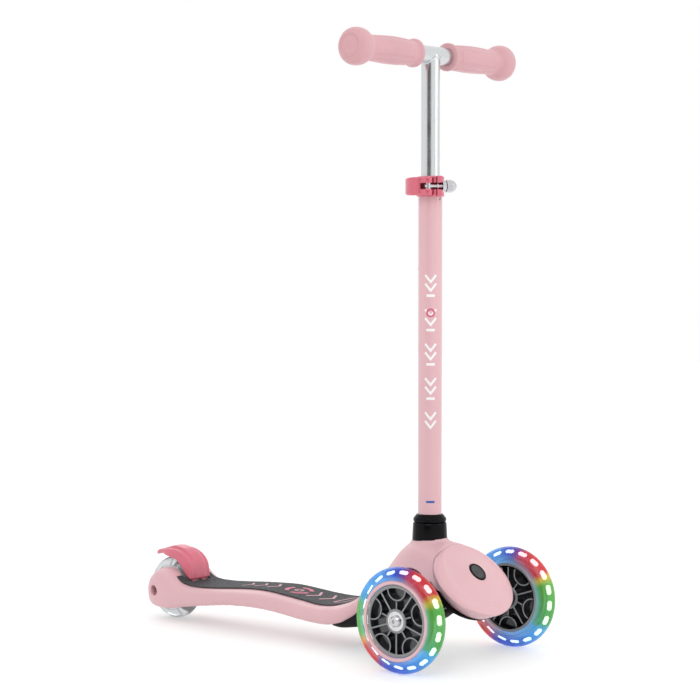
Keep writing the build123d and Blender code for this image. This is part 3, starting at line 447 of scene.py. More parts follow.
# ------------------------------------------------------------- fields for the mouldings
def polygon_field(x, z, outline):
    """Signed distance to a closed outline of (x, z) points, negative inside."""
    x, z = np.broadcast_arrays(x, z)
    nearest = np.full(x.shape, np.inf)
    inside = np.zeros(x.shape, bool)
    for (x0, z0), (x1, z1) in zip(outline, outline[1:] + outline[:1]):
        run, rise = x1 - x0, z1 - z0
        share = ((x - x0) * run + (z - z0) * rise) / (run * run + rise * rise)
        share = np.clip(share, 0, 1)
        nearest = np.minimum(nearest, np.hypot(x - x0 - share * run, z - z0 - share * rise))
        if z0 != z1:
            crosses = (z0 > z) != (z1 > z)
            inside ^= crosses & (x < (z - z0) * run / rise + x0)
    return np.where(inside, -nearest, nearest)


def oval_field(a, b, half_a, half_b):
    """Distance to an ellipse, close to exact near it."""
    reach = np.sqrt((a / half_a) ** 2 + (b / half_b) ** 2)
    steep = np.sqrt((a / half_a ** 2) ** 2 + (b / half_b ** 2) ** 2)
    return (reach - 1) * reach / np.maximum(steep, 1e-4)


def line_field(a, z, a0, z0, a1, z1):
    """Distance outside the line from (a0, z0) down to (a1, z1)."""
    length = np.hypot(a1 - a0, z1 - z0)
    return ((a - a0) * (z0 - z1) - (z - z0) * (a0 - a1)) / length


def lean_frame(x, y, z):
    dx, dz = x - PIVOT_X, z - PIVOT_Z
    out = dx * LEAN_OUT[0] + dz * LEAN_OUT[2]
    down = dx * LEAN_DOWN[0] + dz * LEAN_DOWN[2]
    return out, down, y


# x, top half-width, top z, shoulder half-width, shoulder z, bottom half-width, bottom z
DECK = np.array([
    (-484, 22, 37, 28, 35, 27, 33),
    (-478, 27, 47, 33, 41, 31, 26.5),
    (-470, 30, 58.5, 40, 50, 36, 21.5),
    (-460, 34, 65.5, 44, 55, 40, 19),
    (-447, 36, 69, 46.5, 56, 42.5, 18),
    (-437, 36, 67, 47, 54, 43, 18),
    (-428, 34, 60.5, 46.5, 50, 43, 19),
    (-419, 33.5, 54.4, 46, 46.5, 42.5, 21),
    (-408, 33, 51.6, 45.2, 44.5, 42, 23),
    (-390, 33.5, 50.7, 44, 43.5, 41, 25.5),
    (-360, 33.5, 52.2, 45.5, 44.5, 42, 29.5),
    (-330, 32, 54.8, 46, 47, 42, 33),
    (-300, 31, 56.9, 46, 49, 42, 34.5),
    (-270, 32, 57.6, 47, 49.5, 43, 34.5),
    (-240, 33, 55.4, 48, 48, 44, 32.5),
    (-210, 34, 52.7, 50, 45.5, 46, 29.8),
    (-180, 39, 51.1, 53, 43.5, 48.5, 28.2),
    (-165, 42, 52.0, 54.5, 43.2, 50, 28.5),
    (-150, 43.5, 53.9, 56, 45.5, 51, 30.8),
    (-135, 43, 57.5, 56.5, 50, 51, 36),
    (-118, 41, 66, 55, 58, 50, 46),
    (-104, 38, 76, 52, 68, 47, 58),
])
# z, rear x, front x, half-width of the neck below the column
NECK = np.array([
    (34, -148, 60, 52), (50, -141, 60, 54), (62, -129, 56, 54.5), (78, -115, 47, 53.5),
    (92, -102, 36, 51), (105, -91, 23, 47), (115, -83, 12, 41.5), (123, -76, 3, 37),
    (129, -69.5, -5, 32), (133, -65, -11, 26.5), (136.5, -63, -19, 22.5), (140, -62.5, -21, 21.6),
])
ARCH = np.array([
    (-166, 18), (-158, 23), (-149, 29), (-130, 38), (-114, 48), (-95, 66), (-75, 88),
    (-56, 103), (-38, 108.5), (-24, 106), (-14, 100), (-6, 94), (4, 89), (18, 85), (70, 68),
])
PAD_WIDTHS = np.array([
    (-427, 30.5), (-410, 31.5), (-390, 32.8), (-360, 32.6), (-330, 31), (-300, 29.4),
    (-270, 31.2), (-240, 32.2), (-210, 33.5), (-185, 37.5), (-170, 40.2), (-158, 41),
    (-148, 38.6), (-141, 33.5), (-135.5, 25), (-132, 13), (-131, 3),
])
PAD_DROP = 1.4
PAD_PROUD = 0.5
FORK_GAP = 18.5
NOTCH_FRONT_X = -413.8
NOTCH_HALF = 19.2
COLLAR_SEAT_Z = 138.0
SADDLE_BLEND = 24
FORK_FRONT_X = -394.0


def deck_top(x):
    return smooth_table(x, DECK[:, 0], DECK[:, 2])


def deck_section(x, a, z, inset=0.0, roof=0.0):
    values = [smooth_table(x, DECK[:, 0], DECK[:, column]) for column in range(1, 7)]
    w_top, z_top, w_side, z_side, w_low, z_low = values
    body = soft_max(z - z_top + roof, line_field(a, z, w_top, z_top, w_side, z_side) + inset, 7)
    body = soft_max(body, line_field(a, z, w_side, z_side, w_low, z_low) + inset, 9)
    return body, z_low - z


def neck_field(x, y, z, inset=0.0):
    rear, front, half = [smooth_table(z, NECK[:, 0], NECK[:, column]) for column in (1, 2, 3)]
    return oval_field(x - (rear + front) / 2, y, (front - rear) / 2 - inset, half - inset)


def pad_plan(x, a, margin=0.0):
    width = smooth_table(x, PAD_WIDTHS[:, 0], PAD_WIDTHS[:, 1])
    slope = np.gradient(width, axis=0) / np.gradient(x, axis=0) if x.shape[0] > 1 else 0
    side = (a - width - margin) / np.sqrt(1 + np.minimum(slope ** 2, 9.0))
    plan = np.maximum(side, np.maximum(-427 - margin - x, x + 131 - margin))
    notch = np.maximum(a - NOTCH_HALF + margin, x - NOTCH_FRONT_X + margin)
    return np.maximum(plan, -notch)


def cover_space(x, y, z, margin):
    t, u, v = lean_frame(x, y, z)
    half_u = np.interp(t, COVER_SPACE[:, 0], COVER_SPACE[:, 1])
    half_v = np.interp(t, COVER_SPACE[:, 0], COVER_SPACE[:, 2])
    return np.maximum(oval_field(u, v, half_u + margin, half_v + margin), -26.4 - t)


def deck_solid(x, y, z):
    a = np.abs(y)
    skin, floor = deck_section(x, a, z)
    deck = soft_max(skin, floor, 6)
    deck = soft_max(deck, -481.5 - x, 9)
    deck = np.maximum(deck, x + 106)
    seat = z - COLLAR_SEAT_Z - (x - COLUMN_X) * 0.07
    neck = np.maximum(neck_field(x, y, z), np.maximum(seat, 36 - z))
    body = soft_min(deck, neck, 16)
    saddle = soft_min(body, cover_space(x, y, z, -1.5), SADDLE_BLEND)
    saddle = soft_max(saddle, lean_frame(x, y, z)[0] + 3.0, 2)
    body = np.minimum(body, saddle)
    body = np.maximum(body, -cover_space(x, y, z, 0.15))
    arch = smooth_table(x, ARCH[:, 0], ARCH[:, 1])
    tilt = np.gradient(arch, axis=0) / np.gradient(x, axis=0)
    body = soft_max(body, (arch - z) / np.sqrt(1 + tilt ** 2), 2)
    room = np.maximum(neck_field(x, y, z, 4.0), np.maximum(z - 124, -141 - x))
    body = np.maximum(body, -room)
    inner, _ = deck_section(x, a, z, inset=4.2, roof=6.0)
    hollow = np.maximum(inner, np.maximum(-389 - x, x + 146))
    rib_x = np.abs((x + 370 + 17.5) % 35 - 17.5)
    ribs = np.maximum(1.2 - rib_x, 1.2 - a)
    body = np.maximum(body, -np.maximum(hollow, ribs))
    body = np.maximum(body, -belly_tray(x, a, z, -0.3))
    recess = np.maximum(pad_plan(x, a, 0.35), deck_top(x) - PAD_DROP - z)
    body = np.maximum(body, -recess)
    slot = soft_max(a - FORK_GAP, x - FORK_FRONT_X, 3)
    body = soft_max(body, -slot, 1.5)
    axle = np.hypot(x - REAR_AXLE_X, z - REAR_WHEEL_R)
    body = soft_max(body, -np.maximum(axle - 6.8, 20.5 - a), 1.2)
    body = np.maximum(body, 4.0 - axle)
    column = np.hypot(x - COLUMN_X, y)
    body = np.maximum(body, -np.maximum(column - 20.4, 134.5 - z))
    return np.maximum(body, 18.0 - column)


# ------------------------------------------------------------------ hull under the neck
BELLY = np.array([
    (-163, 39, 33, 34, 25.2), (-150, 44, 36.5, 38, 25.2), (-130, 46.5, 50, 39, 27.8),
    (-110, 47, 66, 38.5, 31.5), (-85, 47, 80, 36, 36), (-58, 45, 82, 32, 40.6),
])
BOW = np.array([(41, 24, 16), (43, 33, 26), (46, 39.5, 32), (50, 44.5, 37.5), (55, 48.5, 42),
                (60, 50, 44)])
BOW_X = -60.0


def belly_tray(x, a, z, inset):
    half_top, z_top, half_low, z_low = [smooth_table(x, BELLY[:, 0], BELLY[:, column])
                                        for column in (1, 2, 3, 4)]
    middle = (z_top + z_low) / 2 + 2
    tray = soft_max(a - half_top + inset,
                    line_field(a, z, half_top, middle, half_low, z_low) + inset, 6)
    tray = soft_max(tray, z_low - z + inset, 5)
    return np.maximum(tray, np.maximum(z - z_top, np.maximum(-163 + inset - x, x + 56)))


def belly_bow(x, y, z, inset):
    length = smooth_table(z - inset, BOW[:, 0], BOW[:, 1]) - inset
    half = smooth_table(z - inset, BOW[:, 0], BOW[:, 2]) - inset
    bow = oval_field(x - BOW_X, y, length, half)
    return soft_max(np.maximum(bow, BOW_X - 2 - x), 41 + inset - z, 6)


def belly_solid(x, y, z):
    a = np.abs(y)
    outer = soft_min(belly_tray(x, a, z, 0), belly_bow(x, y, z, 0), 3)
    inner = np.minimum(belly_tray(x, a, z - 1, 2.5), belly_bow(x, y, z, 2.5))
    pan = np.maximum(outer, -inner)
    pan = np.maximum(pan, -np.maximum(-64 - x, 57.2 - z))
    t, u, v = lean_frame(x, y, z)
    axis = np.hypot(u, v)
    boss = np.maximum(np.maximum(axis - 9.5, -59.5 - t), np.maximum(t + 51.8, z - 59.5))
    pan = soft_min(pan, boss, 1.5)
    pan = np.maximum(pan, -np.maximum(axis - 7.3, -57.2 - t))
    for screw_x, floor in ((-153, 25.2), (-86, 35.8)):
        around = np.hypot(x - screw_x, a - (28 if screw_x < -100 else 24))
        pan = np.maximum(pan, -np.maximum(around - 4.0, z - floor - 2.2))
    return pan


# ----------------------------------------------------------------------- front cover
# t, half-length, half-width and centre u of the outer skin, from its back edge to the button
COVER = np.array([
    (-24.0, 42.5, 46.0, 0), (-20.0, 44.4, 50.0, 0), (-14.0, 47.2, 56.5, 0), (-10.0, 49.0, 60.4, 0),
    (-7.5, 49.8, 61.6, 0), (-5.5, 49.6, 60.2, 0), (-3.8, 48.4, 57.2, -1), (-2.2, 46.6, 53.4, -2),
    (-1.2, 45.0, 50.6, -2.8), (-0.5, 43.4, 48.0, -3.2), (-0.5, 42.2, 46.2, -3.4),
    (-1.1, 40.8, 44.4, -3.6), (-1.0, 38.5, 41.0, -4), (0.0, 33.0, 35.5, -4.3),
    (1.2, 26.5, 29.0, -4.3), (2.4, 21.0, 22.5, -4.3), (3.4, 16.5, 17.0, -4.3),
    (4.2, 13.6, 13.8, -4.3), (4.3, 12.4, 12.4, -4.3), (3.8, 11.8, 11.8, -4.3),
])
# t, half-length and half-width of the room that the neck leaves for the cover
COVER_SPACE = np.array([(-40, 42.6, 46.1), (-24, 42.6, 46.1), (-20, 44.5, 50.1), (-14, 47.3, 56.6),
                        (-10, 49.1, 60.5), (-7.5, 49.9, 61.7), (-5.5, 49.7, 60.3),
                        (-2.2, 47.5, 53.5), (0, 41, 45), (2.2, 27, 29), (4.6, 12, 12),
                        (6, 0.5, 0.5)])


def oval_rings(levels, segments=160):
    angles = np.linspace(0, 2 * math.pi, segments, endpoint=False)
    points = [(shift + u * math.cos(a), v * math.sin(a), t)
              for t, u, v, shift in levels for a in angles]
    return np.array(points), grid_faces(len(levels), segments)


BUTTON_U = -4.3


def front_cover():
    outer = [tuple(level) for level in COVER] + [(-1.4, 11.55, 11.55, BUTTON_U)]
    inner = [(t - 3.0, max(u - 3.2, 11.55), max(v - 3.2, 11.55), shift)
             for t, u, v, shift in COVER[::-1] if t < 3.0]
    inner = [level for level in inner if level[0] > -24.0] + [(-24.0, 39.3, 40.8, 0)]
    points, faces = oval_rings(outer + inner)
    segments = 160
    last = (len(outer) + len(inner) - 1) * segments
    for column in range(segments):
        right = (column + 1) % segments
        faces.append((last + column, last + right, right, column))
    return lean_placed((points, faces))


def button_parts():
    """Bezel ring with a rolled lip, and the button with a shallow dish and fine rings."""
    bezel = [(-1.4, 9.8), (-1.4, 11.5)] + rounded([(3.0, 11.5), (5.1, 11.4), (5.5, 10.6),
                                                   (5.2, 9.85), (3.0, 9.8)], 0.5, 3, closed=False)
    bezel.append((-1.4, 9.8))
    face = [(-1.0, 9.7), (4.6, 9.7)] + [(5.1, 9.45), (5.35, 9.0), (5.3, 8.6), (4.75, 8.3)]
    for radius in np.arange(8.0, 0.2, -0.55):
        face += [(4.55 + 0.1 * (radius / 8) ** 2, radius), (4.66, radius - 0.12)]
    face.append((4.6, 0.01))
    return [lean_placed((points + [BUTTON_U, 0, 0], faces))
            for points, faces in (revolved(bezel), revolved(face))]


# ----------------------------------------------------------------------- brake guard
GUARD_TOP = [(-413.5, 54), (-413.8, 62), (-414.6, 68), (-416, 73.5), (-418.5, 78.5),
             (-422, 83), (-426, 86.8), (-431, 90), (-436.5, 92.6), (-443, 94.4), (-449, 95.1),
             (-455.5, 94.7), (-461, 93.2), (-468, 90.8), (-476, 88.2), (-483, 85.6),
             (-488.4, 83.4)]
GUARD_UNDER = [(-488.6, 80.4), (-484, 81.4), (-479, 82.6), (-471, 84.6), (-464, 85.9),
               (-455, 86.8), (-446, 86.4), (-438.5, 84.8), (-431, 81.8), (-425, 77),
               (-420.8, 69.5), (-418, 62), (-417, 54)]
GUARD_EDGE = [(-395.5, 56.5), (-402, 55.3), (-410, 54.8), (-416, 55.2), (-421, 57.8),
              (-426, 63), (-431, 70), (-438.4, 77), (-446, 79.8), (-456, 81.2), (-465.5, 82.2),
              (-474, 84.4), (-480, 90)]
GUARD_WIDTH = np.array([(-488.4, 0.5), (-487.4, 4.5), (-485, 8), (-481, 11.2), (-475, 14.0),
                        (-467, 16.4), (-455, 18.6), (-440, 19.6), (-420, 19.4), (-404, 19)])


def guard_solid(x, y, z):
    a = np.abs(y)
    under_top = polygon_field(x, z, GUARD_TOP + [(-540, 60), (-540, -40), (-390, -40), (-390, 53.9)])
    over_wheel = -polygon_field(x, z, GUARD_UNDER + [(-417, 0), (-540, 0), (-540, 80.4)])
    width = smooth_table(x, GUARD_WIDTH[:, 0], GUARD_WIDTH[:, 1])
    shoulder_drop = np.interp(x, (-478, -462, -450, -432, -417), (0.0, 2.6, 4.2, 3.0, 0.6))
    ends = np.maximum(-488.6 - x, np.maximum(x + 410.8, 54.8 - z))
    crown = soft_max(under_top, a - np.interp(x, (-480, -460, -410), (14.0, 9.5, 10.5)), 4)
    crown = soft_max(crown, over_wheel, 3)
    shoulder = soft_max(under_top + shoulder_drop, a - width, 5)
    shoulder = soft_max(shoulder, over_wheel, 2.5)
    edge = polygon_field(x, z, GUARD_EDGE + [(-480, 140), (-395.5, 140)])
    skirt = np.maximum(soft_max(under_top + shoulder_drop, a - width, 5), 15.4 - a)
    skirt = soft_max(skirt, edge, 2)
    guard = soft_min(soft_min(crown, shoulder, 2.2), skirt, 2.5)
    guard = soft_max(guard, ends, 2)
    tail = soft_max(a - width, -488.6 - x, 2)
    guard = soft_max(guard, tail, 3)
    lug = polygon_field(x, z, [(-397.6, 45), (-399, 49), (-406, 48.5), (-416, 52), (-417, 58),
                               (-420, 58), (-420, 53), (-406, 41.5), (-402, 40.6), (-399, 41.8)])
    lug = soft_max(lug, np.abs(a - 8.5) - 3.5, 1.5)
    guard = np.minimum(guard, lug)
    return np.maximum(guard, 2.05 - np.hypot(x + 402, z - 45))


# ------------------------------------------------------------------------------ truck
ARM = np.array([(0, 1.5, 75, 9.5, 9), (20, 1.5, 74.8, 10, 9), (38, 1, 71.3, 10.5, 9.3),
                (58, 0.5, 66, 11.3, 10), (78, 0, 62, 11.8, 10.8), (88, 0, 60.8, 12, 11.5),
                (99, 0, 60.5, 12, 12)])


def truck_solid(x, y, z):
    a = np.abs(y)
    t, u, v = lean_frame(x, y, z)
    mid_x, mid_z, half_x, half_z = [smooth_table(a, ARM[:, 0], ARM[:, column])
                                    for column in (1, 2, 3, 4)]
    arms = oval_field(x - mid_x, z - mid_z, half_x, half_z)
    arms = soft_max(arms, a - 97, 2)
    flute = oval_field(z - mid_z, a - 52, 3.2, 26)
    arms = soft_max(arms, -np.maximum(flute, mid_x + half_x - 2.2 - x), 1.5)
    spigot = np.maximum(np.hypot(x, z - 60.5) - 6, np.maximum(a - 99.1, 94 - a))
    arms = np.minimum(arms, spigot)
    barrel = soft_max(np.hypot(u, v) - 13, np.maximum(t + 26, -46 - t), 1.5)
    body = soft_min(arms, barrel, 7)
    body = np.maximum(body, t + 26)
    body = np.maximum(body, -np.maximum(t + 46, a - 14))
    body = np.maximum(body, 6.0 - np.hypot(u, v))
    seat = np.hypot(t + 38.5, a - 31) - 6.5
    body = np.maximum(body, -np.maximum(seat, u + 11))
    return np.maximum(body, -np.maximum(np.hypot(x, z - 60.5) - 4, 62 - a))


# ----------------------------------------------------------- ribbons for the graphics
def ribbon(path, width, lift, step=2.0, closed=False):
    """A flat strip along a path of (a, b) points, as (a, b, height) points and faces."""
    path = [np.array(p, float) for p in path]
    if closed:
        path.append(path[0])
    dense = [path[0]]
    for start, end in zip(path, path[1:]):
        pieces = max(1, int(np.linalg.norm(end - start) / step))
        dense += [start + (end - start) * k / pieces for k in range(1, pieces + 1)]
    if closed:
        dense.pop()
    count = len(dense)
    points = []
    for index, here in enumerate(dense):
        before = dense[index - 1] if closed or index else here
        after = dense[(index + 1) % count] if closed or index < count - 1 else here
        first = here - before
        second = after - here
        first = first / np.linalg.norm(first) if np.linalg.norm(first) else None
        second = second / np.linalg.norm(second) if np.linalg.norm(second) else None
        first = second if first is None else first
        second = first if second is None else second
        along = first + second
        along /= max(np.linalg.norm(along), 1e-9)
        reach = width / 2 / max(0.5, abs(along.dot(first)))
        across = np.array([-along[1], along[0]]) * reach
        for side, height in ((-1, 0.0), (-1, lift), (1, lift), (1, 0.0)):
            points.append((*(here + across * side), height))
    faces = grid_faces(count, 4, wrap_rows=closed)
    if not closed:
        faces += [(3, 2, 1, 0), tuple((count - 1) * 4 + k for k in range(4))]
    return np.array(points), faces


def arc(centre, radius, start, end, steps=24):
    angles = np.radians(np.linspace(start, end, steps + 1))
    return [(centre[0] + radius * math.cos(a), centre[1] + radius * math.sin(a)) for a in angles]


def rounded_box(centre, length, width, corner=2.0):
    x, y = centre
    corners = [(x - length / 2, y - width / 2), (x + length / 2, y - width / 2),
               (x + length / 2, y + width / 2), (x - length / 2, y + width / 2)]
    return [tuple(p) for p in rounded(corners, corner, 4)]


def on_pad(part):
    points, faces = part
    points = points.copy()
    points[:, 2] += deck_top(points[:, 0]) + PAD_PROUD - 0.15
    return points, faces


def on_tube(part):
    """Wrap (around, up, height) onto the column's painted tube; around = 0 faces +X."""
    points, faces = part
    angle = points[:, 0] / OUTER_TUBE_R
    radius = OUTER_TUBE_R - 0.04 + points[:, 2]
    return np.column_stack([COLUMN_X + radius * np.cos(angle), radius * np.sin(angle),
                            points[:, 1]]), faces


# --------------------------------------------------------------------- wheel parts
RIM_R = 41.5


def tyre_profile(radius, rim):
    """Round tyre section as (along the axle, radius) from one bead to the other."""
    crown = [(11.9 * math.sin(math.radians(a)), radius - 11.6 + 11.6 * math.cos(math.radians(a)))
             for a in range(-90, 91, 6)]
    bead = 8.7 if radius > 50 else 10.6
    shelf = rim + 4.5 if radius > 50 else rim + 2.2
    left = [(-bead, rim), (-bead - 0.4, shelf - 0.4), (-11.5, shelf + 0.6)]
    right = [(11.5, shelf + 0.6), (bead + 0.4, shelf - 0.4), (bead, rim)]
    return left + crown + right


def spun(profile, centre, segments=144, side=1):
    """Revolve (along y, radius) round the axle through centre; side -1 mirrors it."""
    points, faces = placed(revolved(profile, segments), centre, (0, 1, 0), (1, 0, 0))
    if side < 0:
        points, faces = mirror_y(points - [0, centre[1], 0], faces)
        points = points + [0, centre[1], 0]
    return points, faces


def loop_path():
    """One loop standing on the rim, with its round end towards the hub."""
    return arc((36.0, 0), 12.5, 276, 84, 24)


def rib(path, width, half, bevel=0.45, step=3.0):
    """An upright rib along a path in the wheel's plane, both edges rounded."""
    path = [np.array(p, float) for p in path]
    dense = [path[0]]
    for start, end in zip(path, path[1:]):
        pieces = max(1, int(np.linalg.norm(end - start) / step))
        dense += [start + (end - start) * k / pieces for k in range(1, pieces + 1)]
    section = [(-width / 2, -half + bevel), (-width / 2 + bevel, -half), (width / 2 - bevel, -half),
               (width / 2, -half + bevel), (width / 2, half - bevel), (width / 2 - bevel, half),
               (-width / 2 + bevel, half), (-width / 2, half - bevel)]
    points = []
    for index, here in enumerate(dense):
        before = dense[max(index - 1, 0)]
        after = dense[min(index + 1, len(dense) - 1)]
        along = (after - before) / np.linalg.norm(after - before)
        across = np.array([-along[1], along[0]])
        for offset, height in section:
            points.append((*(here + across * offset), height))
    count = len(section)
    faces = grid_faces(len(dense), count)
    faces += [tuple(reversed(range(count))),
              tuple((len(dense) - 1) * count + k for k in range(count))]
    return np.array(points), [tuple(reversed(face)) for face in faces]


def turned_about(part, degrees):
    points, faces = part
    c, s = math.cos(math.radians(degrees)), math.sin(math.radians(degrees))
    return np.asarray(points) @ np.array([[c, s, 0], [-s, c, 0], [0, 0, 1]]), faces


def front_hub_parts():
    """Rim and hub tube, and the ribs: straight spokes, loops and their stems."""
    rim = [(-9, 37.0), (-9, 40.6), (-8.2, 41.5), (8.2, 41.5), (9, 40.6), (9, 38.4), (8.4, 37.4),
           (5.0, 36.9), (-5.0, 36.9), (-8.4, 37.4), (-9, 38.4)]
    tube = [(-9, 11.0), (-9, 13.2), (-8.4, 13.9), (8.4, 13.9), (9, 13.2), (9, 11.0), (8.6, 11.0),
            (8.6, 12.0), (-8.6, 12.0), (-8.6, 11.0), (-9, 11.0)]
    floor = [(-1.1, 13.5), (1.1, 13.5), (1.1, 37.2), (-1.1, 37.2), (-1.1, 13.5)]
    body = join(revolved(rim + rim[:1], 144), revolved(tube, 96))
    ribs = []
    for index in range(5):
        straight = rib([(13.2, 0), (37.6, 0)], 1.9, 8.4)
        stem = rib([(13.2, 0), (21.7, 0)], 1.9, 8.0)
        loop = rib(loop_path(), 1.7, 8.2, step=2.5)
        ribs.append(turned_about(straight, SPOKE_START + index * 72))
        ribs.append(turned_about(join(stem, loop), SPOKE_START + 36 + index * 72))
    return body, join(*ribs), revolved(floor, 96)


SPOKE_START = 54.0


def light_bar(angle):
    """One glowing bar, leaning so that its left edge is nearer the tread."""
    half = (BAR_LENGTH - BAR_WIDTH) / 2
    outline = arc((0, half), BAR_WIDTH / 2, 0, 180, 12) + arc((0, -half), BAR_WIDTH / 2, 180, 360, 12)
    points, faces = prism(outline, -BAR_THICKNESS / 2, BAR_THICKNESS / 2, 0.5)
    across, along, thick = np.asarray(points, float).T
    radial = BAR_R + across * math.sin(BAR_LEAN) + thick * math.cos(BAR_LEAN)
    left = BAR_LEFT + across * math.cos(BAR_LEAN) - thick * math.sin(BAR_LEAN)
    turn = math.radians(angle)
    x = radial * math.sin(turn) + along * math.cos(turn)
    z = radial * math.cos(turn) - along * math.sin(turn)
    return np.column_stack([x, left, z]), [tuple(reversed(face)) for face in faces]


BAR_COUNT = 18
BAR_LENGTH = 11.6
BAR_WIDTH = 5.6
BAR_THICKNESS = 1.8
BAR_LEAN = math.radians(31)
BAR_R = 54.3
BAR_LEFT = 1.0


# ----------------------------------------------------------------- light-up wheel looks
WHEEL_COLOURS = [
    (0.000, (0.015, 0.045, 0.40)), (0.030, (0.10, 0.02, 0.22)), (0.060, (0.50, 0.012, 0.02)),
    (0.150, (0.52, 0.015, 0.02)), (0.170, (0.55, 0.42, 0.03)), (0.195, (0.09, 0.36, 0.04)),
    (0.330, (0.05, 0.30, 0.05)), (0.355, (0.06, 0.34, 0.62)), (0.470, (0.03, 0.13, 0.55)),
    (0.560, (0.02, 0.05, 0.42)), (0.585, (0.48, 0.02, 0.02)), (0.640, (0.50, 0.03, 0.02)),
    (0.665, (0.60, 0.22, 0.03)), (0.690, (0.10, 0.36, 0.06)), (0.800, (0.10, 0.36, 0.08)),
    (0.825, (0.05, 0.30, 0.60)), (0.940, (0.06, 0.26, 0.62)), (1.000, (0.015, 0.045, 0.40)),
]


def lit_tyre(name, centre):
    """Clear polyurethane lit from inside: colour goes round the wheel, paler at the hub."""
    n = Nodes(name)
    across, _, up = n.axes(centre)
    turn = n.math("ARCTAN2", across, up)
    share = n.math("FRACT", n.math("ADD", n.math("DIVIDE", turn, 2 * math.pi), 1.0))
    wobble = n.math("MULTIPLY", n.math("SUBTRACT", n.noise(70.0, 3.0), 0.5), 0.03)
    hue = n.ramp(n.math("FRACT", n.math("ADD", n.math("ADD", share, wobble), 1.0)), WHEEL_COLOURS)
    radius = n.math("SQRT", n.math("ADD", n.math("MULTIPLY", across, across),
                                   n.math("MULTIPLY", up, up)))
    near_hub = n.spread(radius, 0.0, 0.6, low_in=0.0525, high_in=0.0425)
    pale = n.mix(near_hub, hue, (0.30, 0.62, 0.85, 1))
    swirl = n.spread(n.noise(160.0, 3.0), 0.85, 1.15)
    n.set(Base_Color=pale, Roughness=0.15, IOR=1.45, Coat_Weight=0.1, Coat_Roughness=0.05)
    n.set(Emission_Color=pale, Emission_Strength=n.math("MULTIPLY", swirl, 0.3))
    n.set(Normal=n.bump(n.noise(260.0, 2.0), 0.00003, 0.3))
    clear = n.add("ShaderNodeBsdfTransparent")
    tint = n.mix(0.45, pale, (1, 1, 1, 1))
    n.link(tint, clear.inputs["Color"])
    blend = n.add("ShaderNodeMixShader")
    blend.inputs[0].default_value = 0.35
    n.link(n.shader.outputs["BSDF"], blend.inputs[1])
    n.link(clear.outputs[0], blend.inputs[2])
    n.link(blend.outputs[0], n.output.inputs["Surface"])
    return n.material


def light_guide(name, centre):
    """Glowing bars: white in the middle, taking a little of the tyre's colour."""
    n = Nodes(name)
    across, _, up = n.axes(centre)
    share = n.math("FRACT", n.math("ADD", n.math("DIVIDE", n.math("ARCTAN2", across, up),
                                                 2 * math.pi), 1.0))
    hue = n.ramp(share, WHEEL_COLOURS)
    frost = n.spread(n.noise(500.0, 3.0), 0.85, 1.0)
    glow = n.mix(n.math("MULTIPLY", frost, 0.93), hue, (1, 1, 1, 1))
    n.set(Base_Color=(0.85, 0.88, 0.9, 1), Roughness=0.35, Emission_Color=glow)
    n.set(Emission_Strength=6.0, IOR=1.49)
    return n.material


def smoked_plastic(name, colour, clear=0.25):
    """Dark see-through moulding with flow marks."""
    n = Nodes(name)
    flow = n.noise(120.0, 5.0, 0.55, stretch=(1, 0.3, 1))
    base = n.mix(n.spread(flow, 0.0, 1.0), tinted(colour, 0.8), tinted(colour, 1.25))
    rough = n.spread(n.noise(80.0, 3.0), 0.10, 0.22)
    n.set(Base_Color=base, Roughness=rough, IOR=1.49, Transmission_Weight=clear)
    n.set(Coat_Weight=0.3, Coat_Roughness=0.08, Normal=n.bump(flow, 0.00005, 0.3))
    return n.material


def hub_plastic(name, centre):
    """Hub moulding: near black, with a painted highlight in grey on the end faces of the ribs, rim and
    tube.
    """
    n = Nodes(name)
    _, depth, _ = n.axes(centre)
    # painted highlight: faces more than 7.2 mm out from the hub's middle plane turn grey
    end_face_highlight = n.spread(n.math("ABSOLUTE", depth), 0.0, 1.0, low_in=0.0072, high_in=0.0080)
    grain = n.spread(n.noise(200.0, 4.0), 0.9, 1.1)
    base = n.mix(end_face_highlight, (0.012, 0.013, 0.016, 1), (0.23, 0.235, 0.245, 1))
    n.set(Base_Color=base, Roughness=n.math("MULTIPLY", grain, 0.2), IOR=1.49, Coat_Weight=0.2)
    return n.material


def clear_rubber(name):
    """Water-clear polyurethane of the rear tyre, with faint haze."""
    n = Nodes(name)
    haze = n.noise(90.0, 4.0)
    base = n.mix(n.spread(haze, 0.0, 1.0), (0.72, 0.76, 0.78, 1), (0.86, 0.89, 0.9, 1))
    n.set(Base_Color=base, Roughness=n.spread(haze, 0.04, 0.12), IOR=1.45)
    n.set(Transmission_Weight=0.75, Specular_IOR_Level=0.6)
    n.set(Normal=n.bump(n.noise(300.0, 2.0), 0.00002, 0.3))
    return n.material


